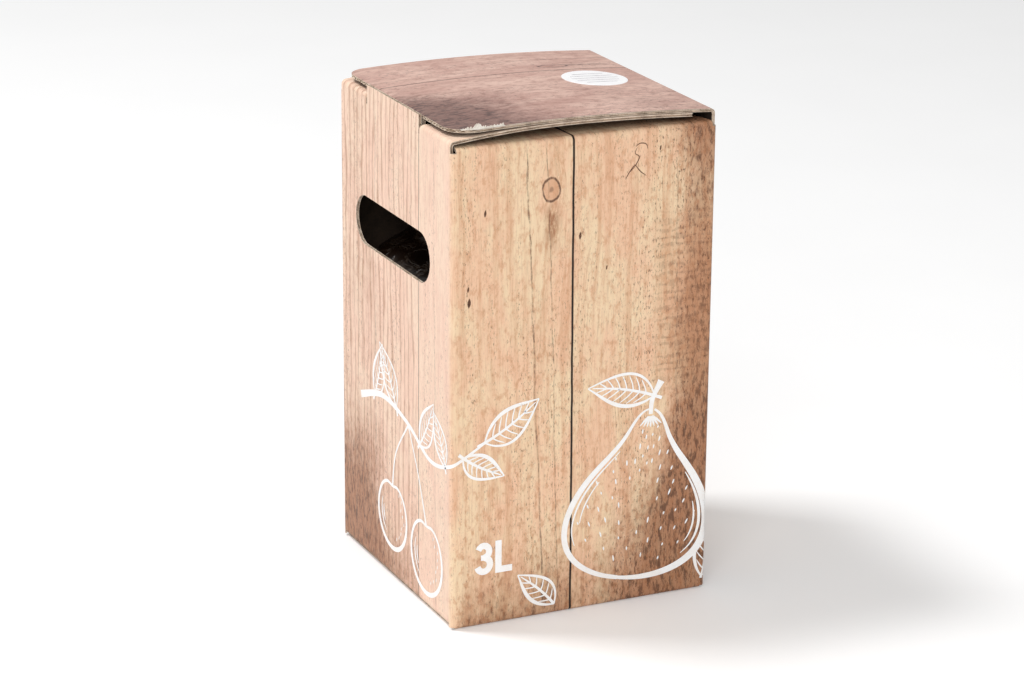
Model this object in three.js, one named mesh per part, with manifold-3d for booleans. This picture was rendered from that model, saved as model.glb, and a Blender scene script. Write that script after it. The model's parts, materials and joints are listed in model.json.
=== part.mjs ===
// A bag-in-box carton for three litres of juice.
//
// The carton is one blank of fine-flute corrugated board, folded into four walls with a glued
// side seam, a two-layer bottom and a top closure. The front and back dust flaps fold in first,
// the inner flap hinged on the left wall lies over them, and the lid hinged on the right wall
// closes on top. The lid's tongue drops into a slot behind a tab that stands up from the left wall.
// A hand hole is cut in the left wall, and a perforated door in the right wall is torn open to
// bring the tap out. Inside stands the filled bag, with a spout welded to its face and a
// push-button tap stowed in the spout, behind the door.
//
// Units are millimetres, +Z is up, the origin is the centre of the bottom, the front wall faces -Y.

import * as THREE from "three";
import { mergeVertices } from "three/addons/utils/BufferGeometryUtils.js";
import Module from "manifold-3d";

const wasm = await Module();
wasm.setup();

// Board and the body of the carton
const board = 1.6;
const foldRadius = 2.4;
const width = 136;
const depth = 136;
const frontFoldTop = 236;
const layerGap = 0.3;
const flapSideGap = 2.2;
const fuse = 0.05;
const arcSteps = 5;

// Bottom flaps
const flapMeetGap = 0.8;

// Glued side seam, inside the back wall at the right
const seamFlapWidth = 28;
const seamFlapTaper = 10;
const seamEdgeInset = 0.5;
const seamNotchAngle = THREE.MathUtils.degToRad(78);

// Dust flaps on the front and back walls
const dustFlapLength = 60;
const dustFlapTaper = 0.2;
const dustFlapDip = THREE.MathUtils.degToRad(1);

// Inner flap on the left wall, and the tab and slot that take the lid's tongue
const leftFoldStep = 3.0;
const innerFlapLength = 124;
const innerFlapSag = 1.95;
const innerFlapMeetsLid = -10;
const tabCentre = 1.75;
const tabWidth = 62.5;
const tabHeight = 4.4;
const tabSideCut = 1.0;
const tabCutFloor = 0.4;
const slotDepth = 7.5;
const slotSplay = 4;

// Lid on the right wall
const lidFoldStep = 2.4;
const lidSideGap = 2.8;
const lidEdgeGap = 0.6;
const lidRise = 1.5;
const lidBow = 2.2;
const lidCornerRadius = 14;
const hingeGap = 0.3;
const bowSteps = 14;
const tongueInset = 0.9;
const tongueLength = 16;
const tongueLean = THREE.MathUtils.degToRad(8);
const tongueCornerRadius = 6;

// Hand hole in the left wall
const handHoleLength = 91;
const handHoleHeight = 24.8;
const handHoleCentreY = 2.5;
const handHoleTopDrop = 48.3;

// Tap, spout and the perforated door in front of them
const tapHeight = 38;
const doorHalfWidth = 22;
const doorSideHeight = 40;
const slitLength = 5.2;
const slitPitch = 7.5;
const slitWidth = 0.6;
const creaseDepth = 0.4;
const roundSteps = 32;

const neckBore = 11;
const neckWall = 2.5;
const neckLength = 14;
const flangeRadius = 22;
const flangeThickness = 1.4;
const ribHeight = 1.5;
const ribWidth = 1.6;
const ribPitch = 4.5;
const ribCount = 2;

const plugClearance = 0.3;
const plugDepth = 8.2;
const plugWall = 2.2;
const collarRadius = 15;
const collarThickness = 1.8;
const tapBodyRadius = 12;
const tapBodyLength = 18.7;
const seatThickness = 1.5;
const seatBore = 6;
const nozzleRadius = 7.5;
const nozzleBore = 5.5;
const nozzleDrop = 26;
const nozzleOffset = 8;
const wingHalfSpan = 24;
const wingHeight = 14;
const wingThickness = 2.4;
const wingSetback = 4.6;
const guideRadius = 4;
const guideLength = 2;
const spokeWidth = 1.6;

const capWall = 1.3;
const capOverlap = 4.2;
const capLip = 1.3;
const capOpening = 9.2;
const diaphragmThickness = 1;
const diaphragmDome = 1.6;
const buttonShaftRadius = 5.1;
const buttonHeadRadius = 8.5;
const buttonHeadLength = 3;
const buttonTravel = 3;
const buttonInset = 2;
const stemRadius = 2;
const stemSocketDepth = 3.3;
const valveRadius = 7.3;
const valveThickness = 2;
const partGap = 0.3;
const slideGap = 0.4;

// Bag
const bagSideGap = 0.8;
const bagBottomRound = 14;
const bagShoulder = 150;
const bagTop = 212;
const bagSquareness = 5;
const bagSides = 40;
const pocketDepth = 45.9;
const pocketMargin = 4;
const pocketHeadroom = 14;

// Heights and places worked out from the driving dimensions
const innerFlapTop = frontFoldTop + leftFoldStep;
const lidFoldTop = innerFlapTop + lidFoldStep;
const ringTop = frontFoldTop - foldRadius;
const innerBottom = board + layerGap;
const ringBottom = innerBottom + foldRadius;
const insideX = width / 2 - board;
const insideY = depth / 2 - board;
const lidEdgeX = -(insideX - lidEdgeGap);
const lidHingeX = width / 2 - foldRadius;
const lidRun = lidHingeX - lidEdgeX;
const tapWallX = insideX - pocketDepth;

const quarter = Math.PI / 2;
const wallTurn = { front: 0, right: quarter, back: Math.PI, left: -quarter };
const tall = 400;

// Solid for joining and cutting, from a closed three.js geometry
function solidOf(geometry) {
  const plain = geometry.index ? geometry.toNonIndexed() : geometry;
  plain.deleteAttribute("normal");
  plain.deleteAttribute("uv");
  const merged = mergeVertices(plain, 1e-4);
  return new wasm.Manifold(
    new wasm.Mesh({
      numProp: 3,
      vertProperties: new Float32Array(merged.attributes.position.array),
      triVerts: new Uint32Array(merged.index.array),
    }),
  );
}

// three.js geometry from a solid
function geometryOf(solid) {
  const mesh = solid.getMesh();
  const geometry = new THREE.BufferGeometry();
  geometry.setAttribute("position", new THREE.BufferAttribute(mesh.vertProperties, 3));
  geometry.setIndex(new THREE.BufferAttribute(mesh.triVerts, 1));
  const flat = geometry.toNonIndexed();
  flat.computeVertexNormals();
  return flat;
}

// Union of several solids
function join(...solids) {
  return solids.reduce((sum, solid) => sum.add(solid));
}

// Points of an arc, both ends included
function arc(centreX, centreY, radius, from, to, steps = arcSteps) {
  const points = [];
  for (let i = 0; i <= steps; i += 1) {
    const angle = from + ((to - from) * i) / steps;
    points.push(
      new THREE.Vector2(centreX + radius * Math.cos(angle), centreY + radius * Math.sin(angle)),
    );
  }
  return points;
}

// Closed outline one board thick, from the points of the printed face; the board lies on the
// right of the direction of travel
function boardOutline(points) {
  const normals = points.slice(1).map((p, i) => {
    const along = p.clone().sub(points[i]).normalize();
    return new THREE.Vector2(along.y, -along.x);
  });
  const inner = points.map((p, i) => {
    const before = normals[Math.max(i - 1, 0)];
    const after = normals[Math.min(i, normals.length - 1)];
    const mitre = before.clone().add(after).normalize();
    return p.clone().addScaledVector(mitre, board / mitre.dot(before));
  });
  return new THREE.Shape([...points, ...inner.reverse()]);
}

// Extrusion of an outline of (distance in from the wall's face, height), which runs along one
// wall between two places counted from the wall's middle
function alongWall(outline, reach, from, to, turn) {
  const geometry = new THREE.ExtrudeGeometry(outline, { depth: to - from, bevelEnabled: false });
  const axes = new THREE.Matrix4().makeBasis(
    new THREE.Vector3(0, 1, 0),
    new THREE.Vector3(0, 0, 1),
    new THREE.Vector3(1, 0, 0),
  );
  geometry.applyMatrix4(axes.setPosition(from, -reach, 0));
  geometry.rotateZ(turn);
  return solidOf(geometry);
}

// Upright prism over an outline in plan
function prism(outline, bottom, top, curveSegments = 6) {
  const geometry = new THREE.ExtrudeGeometry(outline, {
    depth: top - bottom,
    bevelEnabled: false,
    curveSegments,
  });
  geometry.translate(0, 0, bottom);
  return solidOf(geometry);
}

// Prism along +X over an outline of (y, z)
function prismX(outline, from, to, curveSegments = 8) {
  const geometry = new THREE.ExtrudeGeometry(outline, {
    depth: to - from,
    bevelEnabled: false,
    curveSegments,
  });
  const axes = new THREE.Matrix4().makeBasis(
    new THREE.Vector3(0, 1, 0),
    new THREE.Vector3(0, 0, 1),
    new THREE.Vector3(1, 0, 0),
  );
  geometry.applyMatrix4(axes.setPosition(from, 0, 0));
  return solidOf(geometry);
}

// Box between two corners
function block(low, high) {
  const size = high.map((value, i) => value - low[i]);
  const geometry = new THREE.BoxGeometry(...size);
  geometry.translate(...low.map((value, i) => value + size[i] / 2));
  return solidOf(geometry);
}

// Solid of revolution about the tap's axis, from a closed profile of [radius, x]
function turned(profile) {
  const points = [...profile, profile[0]].map(([radius, x]) => new THREE.Vector2(radius, x));
  const geometry = new THREE.LatheGeometry(points, roundSteps);
  geometry.rotateZ(-quarter);
  geometry.translate(0, 0, tapHeight);
  return solidOf(geometry);
}

// Rounded rectangle about a centre
function roundedRectangle(centreX, centreY, halfX, halfY, radius) {
  const shape = new THREE.Shape();
  shape.absarc(centreX + halfX - radius, centreY + halfY - radius, radius, 0, quarter);
  shape.absarc(centreX - halfX + radius, centreY + halfY - radius, radius, quarter, Math.PI);
  shape.absarc(centreX - halfX + radius, centreY - halfY + radius, radius, Math.PI, 3 * quarter);
  shape.absarc(centreX + halfX - radius, centreY - halfY + radius, radius, 3 * quarter, 4 * quarter);
  return shape;
}

// The four walls in plan, with rounded folds and, at the back right, the seam: the right wall
// folds inside the back wall, whose raw edge stands free
function wallRingOutline() {
  const x = width / 2;
  const y = depth / 2;
  const inner = foldRadius - board;
  const seamY = insideY - foldRadius;
  const outline = new THREE.Shape();
  outline.absarc(x - foldRadius, -y + foldRadius, foldRadius, -quarter, 0);
  outline.absarc(x - foldRadius, seamY, foldRadius, 0, seamNotchAngle);
  outline.lineTo(x - foldRadius + seamEdgeInset, insideY);
  outline.lineTo(x - seamEdgeInset, insideY);
  outline.lineTo(x - seamEdgeInset, y);
  outline.absarc(-x + foldRadius, y - foldRadius, foldRadius, quarter, Math.PI);
  outline.absarc(-x + foldRadius, -y + foldRadius, foldRadius, Math.PI, 3 * quarter);

  const stub = insideX - seamFlapWidth / 2;
  const hole = new THREE.Path();
  hole.absarc(x - foldRadius, -y + foldRadius, inner, -quarter, 0);
  hole.absarc(x - foldRadius, seamY, inner, 0, quarter);
  hole.lineTo(stub, insideY - board);
  hole.lineTo(stub, insideY);
  hole.absarc(-x + foldRadius, y - foldRadius, inner, quarter, Math.PI);
  hole.absarc(-x + foldRadius, -y + foldRadius, inner, Math.PI, 3 * quarter);
  outline.holes.push(hole);
  return outline;
}

// The seam's glued flap, tapered at both ends
function seamFlap() {
  const near = insideX - foldRadius;
  const far = insideX - seamFlapWidth;
  const outline = new THREE.Shape([
    new THREE.Vector2(near, ringBottom),
    new THREE.Vector2(near, ringTop),
    new THREE.Vector2(far, ringTop - seamFlapTaper),
    new THREE.Vector2(far, ringBottom + seamFlapTaper),
  ]);
  const geometry = new THREE.ExtrudeGeometry(outline, { depth: board + fuse, bevelEnabled: false });
  geometry.rotateX(quarter);
  geometry.translate(0, insideY + fuse, 0);
  return solidOf(geometry);
}

// A bottom flap, from its free end to the wall above its fold
function bottomFlap(reach, crossHalf, foldBottom, turn) {
  const path = [
    new THREE.Vector2(reach - flapMeetGap / 2, foldBottom),
    ...arc(foldRadius, foldBottom + foldRadius, foldRadius, 3 * quarter, Math.PI),
    new THREE.Vector2(0, ringBottom + fuse),
  ];
  const half = crossHalf - flapSideGap;
  return alongWall(boardOutline(path), reach, -half, half, turn);
}

// A tapered dust flap folded in from the front or back wall
function dustFlap(turn) {
  const direction = new THREE.Vector2(Math.cos(dustFlapDip), -Math.sin(dustFlapDip));
  const fold = arc(foldRadius, ringTop, foldRadius, Math.PI, quarter - dustFlapDip);
  const path = [
    new THREE.Vector2(0, ringTop - fuse),
    ...fold,
    fold[arcSteps].clone().addScaledVector(direction, dustFlapLength),
  ];
  const half = width / 2 - flapSideGap;
  const free = half - dustFlapTaper * dustFlapLength;
  const plan = new THREE.Shape([
    new THREE.Vector2(-half, -depth / 2),
    new THREE.Vector2(half, -depth / 2),
    new THREE.Vector2(half, -depth / 2 + foldRadius),
    new THREE.Vector2(free, -depth / 2 + 2 * foldRadius + dustFlapLength),
    new THREE.Vector2(-free, -depth / 2 + 2 * foldRadius + dustFlapLength),
    new THREE.Vector2(-half, -depth / 2 + foldRadius),
  ]);
  const planGeometry = new THREE.ExtrudeGeometry(plan, { depth: tall, bevelEnabled: false });
  planGeometry.rotateZ(turn);
  return alongWall(boardOutline(path), depth / 2, -half, half, turn).intersect(
    solidOf(planGeometry),
  );
}

// Height of the lid's printed face: it bows up between its hinge fold and its free edge
function lidTopAt(x) {
  const t = (lidHingeX - x) / lidRun;
  return lidFoldTop + lidRise * t + 4 * lidBow * t * (1 - t);
}

// Height of the inner flap's printed face: it lies against the lid and falls off to its own fold
function innerFlapTopAt(x) {
  const underLid = lidTopAt(x) - board - layerGap;
  const share = Math.max(0, (innerFlapMeetsLid - x) / (innerFlapMeetsLid + lidHingeX));
  return underLid - innerFlapSag * share * share;
}

// The inner flap with the slot for the tongue, and the tab that stands up beside the slot
function innerFlap() {
  const drop = innerFlapTop - innerFlapTopAt(-lidHingeX);
  const path = [
    new THREE.Vector2(0, ringTop - fuse),
    ...arc(foldRadius, innerFlapTop - foldRadius, foldRadius, Math.PI, quarter),
  ];
  const run = innerFlapLength - foldRadius;
  for (let i = 1; i <= bowSteps; i += 1) {
    const inward = foldRadius + (run * i) / bowSteps;
    const settle = drop * Math.max(0, 1 - i / (bowSteps / 2));
    path.push(new THREE.Vector2(inward, innerFlapTopAt(inward - width / 2) + settle));
  }
  const half = depth / 2 - flapSideGap;
  const sheet = alongWall(boardOutline(path), width / 2, -half, half, wallTurn.left);
  const slotHalf = tabWidth / 2 + tabSideCut;
  const slotEnd = (end) => [
    new THREE.Vector2(-width / 2 + slotDepth, tabCentre + end * (slotHalf + slotSplay)),
    new THREE.Vector2(-width / 2, tabCentre + end * slotHalf),
    new THREE.Vector2(-width / 2 - 1, tabCentre + end * slotHalf),
  ];
  const slotOutline = new THREE.Shape([...slotEnd(-1), ...slotEnd(1).reverse()]);
  const slot = prism(slotOutline, ringTop + tabCutFloor, tall);
  const tab = block(
    [-width / 2, tabCentre - tabWidth / 2, ringTop - fuse],
    [-insideX, tabCentre + tabWidth / 2, innerFlapTop + tabHeight],
  );
  return join(sheet.subtract(slot), tab);
}

// The part of the right wall that stands above the other folds and carries the lid
function lidWall() {
  const half = depth / 2 - flapSideGap;
  const path = [
    new THREE.Vector2(0, ringTop - fuse),
    new THREE.Vector2(0, lidFoldTop - foldRadius - hingeGap),
  ];
  return alongWall(boardOutline(path), width / 2, -half, half, wallTurn.right);
}

// The hand hole, cut through the left wall
function handHole() {
  const centreZ = frontFoldTop - handHoleTopDrop - handHoleHeight / 2;
  const outline = roundedRectangle(
    handHoleCentreY,
    centreZ,
    handHoleLength / 2,
    handHoleHeight / 2,
    handHoleHeight / 2 - 0.01,
  );
  return prismX(outline, -width / 2 - 1, -insideX + 1);
}

// The perforation of the tap door: slits down both sides and round the end, and a crease on top
function tapDoorCuts() {
  const cuts = [];
  const slit = (y, z, angle) => {
    const geometry = new THREE.BoxGeometry(board + 2, slitLength, slitWidth);
    geometry.rotateX(angle);
    geometry.translate(width / 2 - board / 2, y, z);
    cuts.push(solidOf(geometry));
  };
  const sideSlits = Math.floor(doorSideHeight / slitPitch);
  for (let i = 0; i < sideSlits; i += 1) {
    const z = tapHeight + slitPitch * (i + 0.5);
    slit(-doorHalfWidth, z, quarter);
    slit(doorHalfWidth, z, quarter);
  }
  const roundSlits = Math.floor((Math.PI * doorHalfWidth) / slitPitch);
  for (let i = 0; i < roundSlits; i += 1) {
    const angle = Math.PI + (Math.PI * (i + 0.5)) / roundSlits;
    slit(
      doorHalfWidth * Math.cos(angle),
      tapHeight + doorHalfWidth * Math.sin(angle),
      angle + quarter,
    );
  }
  cuts.push(
    block(
      [width / 2 - creaseDepth, -doorHalfWidth, tapHeight + doorSideHeight],
      [width / 2 + 1, doorHalfWidth, tapHeight + doorSideHeight + slitWidth],
    ),
  );
  return join(...cuts);
}

function cartonSolid() {
  return join(
    prism(wallRingOutline(), ringBottom, ringTop),
    seamFlap(),
    bottomFlap(depth / 2, width / 2, 0, wallTurn.front),
    bottomFlap(depth / 2, width / 2, 0, wallTurn.back),
    bottomFlap(width / 2, depth / 2, innerBottom, wallTurn.left),
    bottomFlap(width / 2, depth / 2, innerBottom, wallTurn.right),
    dustFlap(wallTurn.front),
    dustFlap(wallTurn.back),
    innerFlap(),
    lidWall(),
  )
    .subtract(handHole())
    .subtract(tapDoorCuts());
}

// Extrusion along Y of an outline of (x, z), from -half to +half about a middle
function acrossLid(outline, middle, half) {
  const geometry = new THREE.ExtrudeGeometry(outline, { depth: 2 * half, bevelEnabled: false });
  geometry.rotateX(quarter);
  geometry.translate(0, middle + half, 0);
  return solidOf(geometry);
}

// The lid, bowed, with round free corners, and its tongue folded down into the slot
function lidSolid() {
  const half = depth / 2 - lidSideGap;
  const path = [];
  for (let i = 0; i < bowSteps; i += 1) {
    const x = lidEdgeX + (lidRun * i) / bowSteps;
    path.push(new THREE.Vector2(x, lidTopAt(x)));
  }
  path.push(...arc(lidHingeX, lidFoldTop - foldRadius, foldRadius, quarter, 0));
  const sheet = acrossLid(boardOutline(path), 0, half);

  const plan = new THREE.Shape();
  plan.moveTo(width / 2 + 1, half + 1);
  plan.lineTo(width / 2 + 1, -half - 1);
  plan.lineTo(0, -half);
  plan.absarc(lidEdgeX + lidCornerRadius, -half + lidCornerRadius, lidCornerRadius, -quarter, -Math.PI, true);
  plan.absarc(lidEdgeX + lidCornerRadius, half - lidCornerRadius, lidCornerRadius, Math.PI, quarter, true);
  plan.lineTo(0, half);
  const panel = sheet.intersect(prism(plan, 0, tall));

  const edgeTop = lidTopAt(lidEdgeX);
  const foldEnd = Math.PI + tongueLean;
  const fold = arc(lidEdgeX + foldRadius, edgeTop - foldRadius, foldRadius, foldEnd, quarter);
  const down = new THREE.Vector2(Math.sin(tongueLean), -Math.cos(tongueLean));
  const tonguePath = [
    fold[0].clone().addScaledVector(down, tongueLength),
    ...fold,
    new THREE.Vector2(lidEdgeX + 2 * foldRadius, edgeTop),
  ];
  const tongueHalf = tabWidth / 2 - tongueInset;
  const tongueTip = edgeTop - foldRadius - tongueLength;
  const front = roundedRectangle(
    tabCentre,
    tongueTip + tongueLength + foldRadius,
    tongueHalf,
    tongueLength + foldRadius,
    tongueCornerRadius,
  );
  const tongue = acrossLid(boardOutline(tonguePath), tabCentre, tongueHalf).intersect(
    prismX(front, lidEdgeX - 1, 0),
  );
  return join(panel, tongue);
}

// Stations of the bag: height, left and right reach in x, and half width in y. Its top leans
// away from the hand hole and leaves room for fingers.
function bagStations() {
  const bottom = innerBottom + board + partGap;
  const left = -(insideX - bagSideGap);
  const right = insideX - bagSideGap;
  const side = (insideY * 2 - board) / 2 - bagSideGap;
  const stations = [];
  const roundSteps = 4;
  for (let i = 0; i <= roundSteps; i += 1) {
    const angle = (quarter * i) / roundSteps;
    const inset = bagBottomRound * (1 - Math.sin(angle));
    stations.push([
      bottom + bagBottomRound * (1 - Math.cos(angle)),
      left + inset,
      right - inset,
      side - inset,
    ]);
  }
  const crown = bagTop - bagShoulder;
  const share = (part, x0, x1, y) => [bagShoulder + crown * part, left * x0, right * x1, side * y];
  stations.push(
    share(0, 0.99, 1, 1),
    share(0.12, 0.93, 1, 0.99),
    share(0.24, 0.68, 0.99, 0.97),
    share(0.42, 0.6, 0.96, 0.92),
    share(0.64, 0.52, 0.86, 0.8),
    share(0.84, 0.38, 0.65, 0.58),
    share(0.96, 0.16, 0.38, 0.3),
  );
  return stations;
}

// The filled bag: a loft of squarish sections, closed flat below and gathered at the top, with
// the pocket in which the tap is stowed
function bagSolid() {
  const stations = bagStations();
  const shiftY = -board / 2;
  const ring = ([z, left, right, half]) => {
    const points = [];
    for (let i = 0; i < bagSides; i += 1) {
      const angle = (2 * Math.PI * i) / bagSides;
      const c = Math.cos(angle);
      const s = Math.sin(angle);
      const reach = (Math.abs(c) ** bagSquareness + Math.abs(s) ** bagSquareness) ** (-1 / bagSquareness);
      const x = (left + right) / 2 + ((right - left) / 2) * reach * c;
      points.push([x, shiftY + half * reach * s, z]);
    }
    return points;
  };
  const rings = stations.map(ring);
  const first = stations[0];
  const last = stations[stations.length - 1];
  const vertices = [
    ...rings.flat(),
    [(first[1] + first[2]) / 2, shiftY, first[0]],
    [(last[1] + last[2]) / 2, shiftY, bagTop],
  ];
  const bottomPole = vertices.length - 2;
  const topPole = vertices.length - 1;
  const faces = [];
  for (let i = 0; i < bagSides; i += 1) {
    const next = (i + 1) % bagSides;
    faces.push([bottomPole, next, i]);
    const base = (rings.length - 1) * bagSides;
    faces.push([topPole, base + i, base + next]);
    for (let j = 0; j < rings.length - 1; j += 1) {
      const a = j * bagSides + i;
      const b = j * bagSides + next;
      faces.push([a, b, b + bagSides], [a, b + bagSides, a + bagSides]);
    }
  }
  const geometry = new THREE.BufferGeometry();
  geometry.setAttribute("position", new THREE.Float32BufferAttribute(vertices.flat(), 3));
  geometry.setIndex(faces.flat());
  const pocketHalf = wingHalfSpan + pocketMargin;
  const pocketFloor = tapHeight - nozzleDrop - pocketMargin;
  const pocketTop = tapHeight + collarRadius + pocketHeadroom;
  const pocket = prismX(
    roundedRectangle(
      0,
      (pocketFloor + pocketTop) / 2,
      pocketHalf,
      (pocketTop - pocketFloor) / 2,
      pocketMargin * 2,
    ),
    tapWallX,
    width,
  );
  return solidOf(geometry).subtract(pocket);
}

// Places along the tap's axis, from the bag's face outwards
const flangeBack = tapWallX + partGap;
const flangeFront = flangeBack + flangeThickness;
const neckEnd = flangeFront + neckLength;
const collarBack = neckEnd + partGap;
const collarFront = collarBack + collarThickness;
const plugEnd = collarBack - plugDepth - partGap;
const bodyFront = collarFront + tapBodyLength;
const diaphragmBack = bodyFront + partGap;
const diaphragmFront = diaphragmBack + diaphragmThickness;
const capFront = diaphragmFront + partGap + capLip;
const buttonHeadBack = diaphragmFront + slideGap + buttonTravel;
const buttonHeadFront = buttonHeadBack + buttonHeadLength;
const buttonShaftEnd = bodyFront - buttonInset;

function spoutSolid() {
  const outer = neckBore + neckWall;
  const profile = [
    [neckBore, flangeBack],
    [flangeRadius, flangeBack],
    [flangeRadius, flangeFront],
    [outer, flangeFront],
  ];
  for (let i = 0; i < ribCount; i += 1) {
    const start = flangeFront + ribPitch * (i + 0.6);
    profile.push(
      [outer, start],
      [outer + ribHeight, start],
      [outer + ribHeight, start + ribWidth],
      [outer, start + ribWidth],
    );
  }
  profile.push([outer, neckEnd], [neckBore, neckEnd]);
  return turned(profile);
}

// The tap's body: a plug that fits the spout, a collar, the barrel with its nozzle, the finger
// wings and the guide for the stem
function tapBodySolid() {
  const plugRadius = neckBore - plugClearance;
  const bore = plugRadius - plugWall;
  const outer = turned([
    [0, plugEnd],
    [plugRadius, plugEnd],
    [plugRadius, collarBack],
    [collarRadius, collarBack],
    [collarRadius, collarFront],
    [tapBodyRadius, collarFront],
    [tapBodyRadius, bodyFront],
    [0, bodyFront],
  ]);
  const hollow = turned([
    [0, plugEnd + seatThickness],
    [bore, plugEnd + seatThickness],
    [bore, bodyFront + 1],
    [0, bodyFront + 1],
  ]);
  const seat = turned([
    [0, plugEnd - 1],
    [seatBore, plugEnd - 1],
    [seatBore, plugEnd + seatThickness + 1],
    [0, plugEnd + seatThickness + 1],
  ]);
  const nozzleX = collarBack + nozzleOffset;
  const down = (radius, top) => {
    const geometry = new THREE.CylinderGeometry(radius, radius, top + nozzleDrop, roundSteps);
    geometry.rotateX(quarter);
    geometry.translate(nozzleX, 0, tapHeight + (top - nozzleDrop) / 2);
    return solidOf(geometry);
  };
  const wingFront = bodyFront - wingSetback;
  const wings = prismX(
    roundedRectangle(0, tapHeight, wingHalfSpan, wingHeight / 2, wingHeight / 2 - 0.01),
    wingFront - wingThickness,
    wingFront,
  );
  const guideBack = collarBack + collarThickness;
  const guide = turned([
    [stemRadius + slideGap, guideBack],
    [guideRadius, guideBack],
    [guideRadius, guideBack + guideLength],
    [stemRadius + slideGap, guideBack + guideLength],
  ]);
  const spokes = [0, 1, 2].map((i) => {
    const geometry = new THREE.BoxGeometry(guideLength, bore, spokeWidth);
    geometry.translate(guideBack + guideLength / 2, stemRadius + slideGap * 2 + bore / 2, 0);
    geometry.rotateX((2 * Math.PI * i) / 3 + quarter);
    geometry.translate(0, 0, tapHeight);
    return solidOf(geometry);
  });
  const wall = join(outer, down(nozzleRadius, 0), wings);
  const cut = wall
    .subtract(hollow)
    .subtract(seat)
    .subtract(
      solidOf(
        new THREE.CylinderGeometry(nozzleBore, nozzleBore, nozzleDrop + 1, roundSteps)
          .rotateX(quarter)
          .translate(nozzleX, 0, tapHeight - (nozzleDrop + 1) / 2),
      ),
    );
  return join(cut, guide, ...spokes);
}

// The ring that clamps the diaphragm on the front of the barrel
function tapCapSolid() {
  const inner = tapBodyRadius + partGap;
  const outer = inner + capWall;
  const back = bodyFront - capOverlap;
  return turned([
    [inner, back],
    [outer, back],
    [outer, capFront],
    [capOpening, capFront],
    [capOpening, capFront - capLip],
    [inner, capFront - capLip],
  ]);
}

// The elastic diaphragm round the button's shaft
function tapDiaphragmSolid() {
  const hole = buttonShaftRadius + slideGap;
  const rim = tapBodyRadius - partGap;
  const crest = (hole + rim) / 2;
  return turned([
    [hole, diaphragmBack - diaphragmDome],
    [crest, diaphragmBack],
    [rim, diaphragmBack],
    [rim, diaphragmFront],
    [crest, diaphragmFront],
    [hole, diaphragmFront - diaphragmDome],
  ]);
}

function tapButtonSolid() {
  const socket = stemRadius + partGap;
  const edge = 0.8;
  return turned([
    [socket, buttonShaftEnd],
    [buttonShaftRadius, buttonShaftEnd],
    [buttonShaftRadius, buttonHeadBack],
    [buttonHeadRadius, buttonHeadBack],
    [buttonHeadRadius, buttonHeadFront - edge],
    [buttonHeadRadius - edge, buttonHeadFront],
    [0, buttonHeadFront],
    [0, buttonShaftEnd + stemSocketDepth + partGap],
    [socket, buttonShaftEnd + stemSocketDepth + partGap],
  ]);
}

// The valve stem, with the disc that seals the seat from inside
function tapStemSolid() {
  const discFront = plugEnd - partGap;
  const discBack = discFront - valveThickness;
  return turned([
    [0, discBack],
    [valveRadius, discBack],
    [valveRadius, discFront],
    [stemRadius, discFront],
    [stemRadius, buttonShaftEnd + stemSocketDepth],
    [0, buttonShaftEnd + stemSocketDepth],
  ]);
}

const printedBoard = new THREE.MeshStandardMaterial({ color: "#cfa17b", roughness: 0.62 });
const printedLid = new THREE.MeshStandardMaterial({ color: "#b8938a", roughness: 0.62 });
const bagFilm = new THREE.MeshStandardMaterial({ color: "#3f2a18", roughness: 0.25 });
const spoutPlastic = new THREE.MeshStandardMaterial({ color: "#eeeae0", roughness: 0.45 });
const tapPlastic = new THREE.MeshStandardMaterial({ color: "#e4e4e2", roughness: 0.4 });
const diaphragmRubber = new THREE.MeshStandardMaterial({ color: "#3b3b3d", roughness: 0.7 });
const buttonPlastic = new THREE.MeshStandardMaterial({ color: "#b3221f", roughness: 0.35 });

const pieces = [
  ["carton", cartonSolid(), printedBoard],
  ["lid", lidSolid(), printedLid],
  ["bag", bagSolid(), bagFilm],
  ["spout", spoutSolid(), spoutPlastic],
  ["tap_body", tapBodySolid(), tapPlastic],
  ["tap_cap", tapCapSolid(), tapPlastic],
  ["tap_diaphragm", tapDiaphragmSolid(), diaphragmRubber],
  ["tap_button", tapButtonSolid(), buttonPlastic],
  ["tap_stem", tapStemSolid(), tapPlastic],
];

const carton = new THREE.Group();
for (const [name, solid, material] of pieces) {
  const mesh = new THREE.Mesh(geometryOf(solid), material);
  mesh.name = name;
  carton.add(mesh);
}

export default carton;
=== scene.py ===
"""Dresses a bag-in-box carton for three litres of juice: the folded board, its print, the bag and the tap.

Sizes of the pieces are in millimetres, in the row's frame: +Z up, the origin at the centre of the
bottom, the front wall at -Y and the wall with the hand hole at -X. Meshes are written in metres.
"""

from __future__ import annotations

import json
import logging
import math
import operator
from bisect import bisect_right
from collections.abc import Callable, Iterable, Sequence
from dataclasses import astuple, dataclass, field
from enum import Enum
from functools import reduce

import bpy
from mathutils import Matrix, Vector, noise

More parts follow.
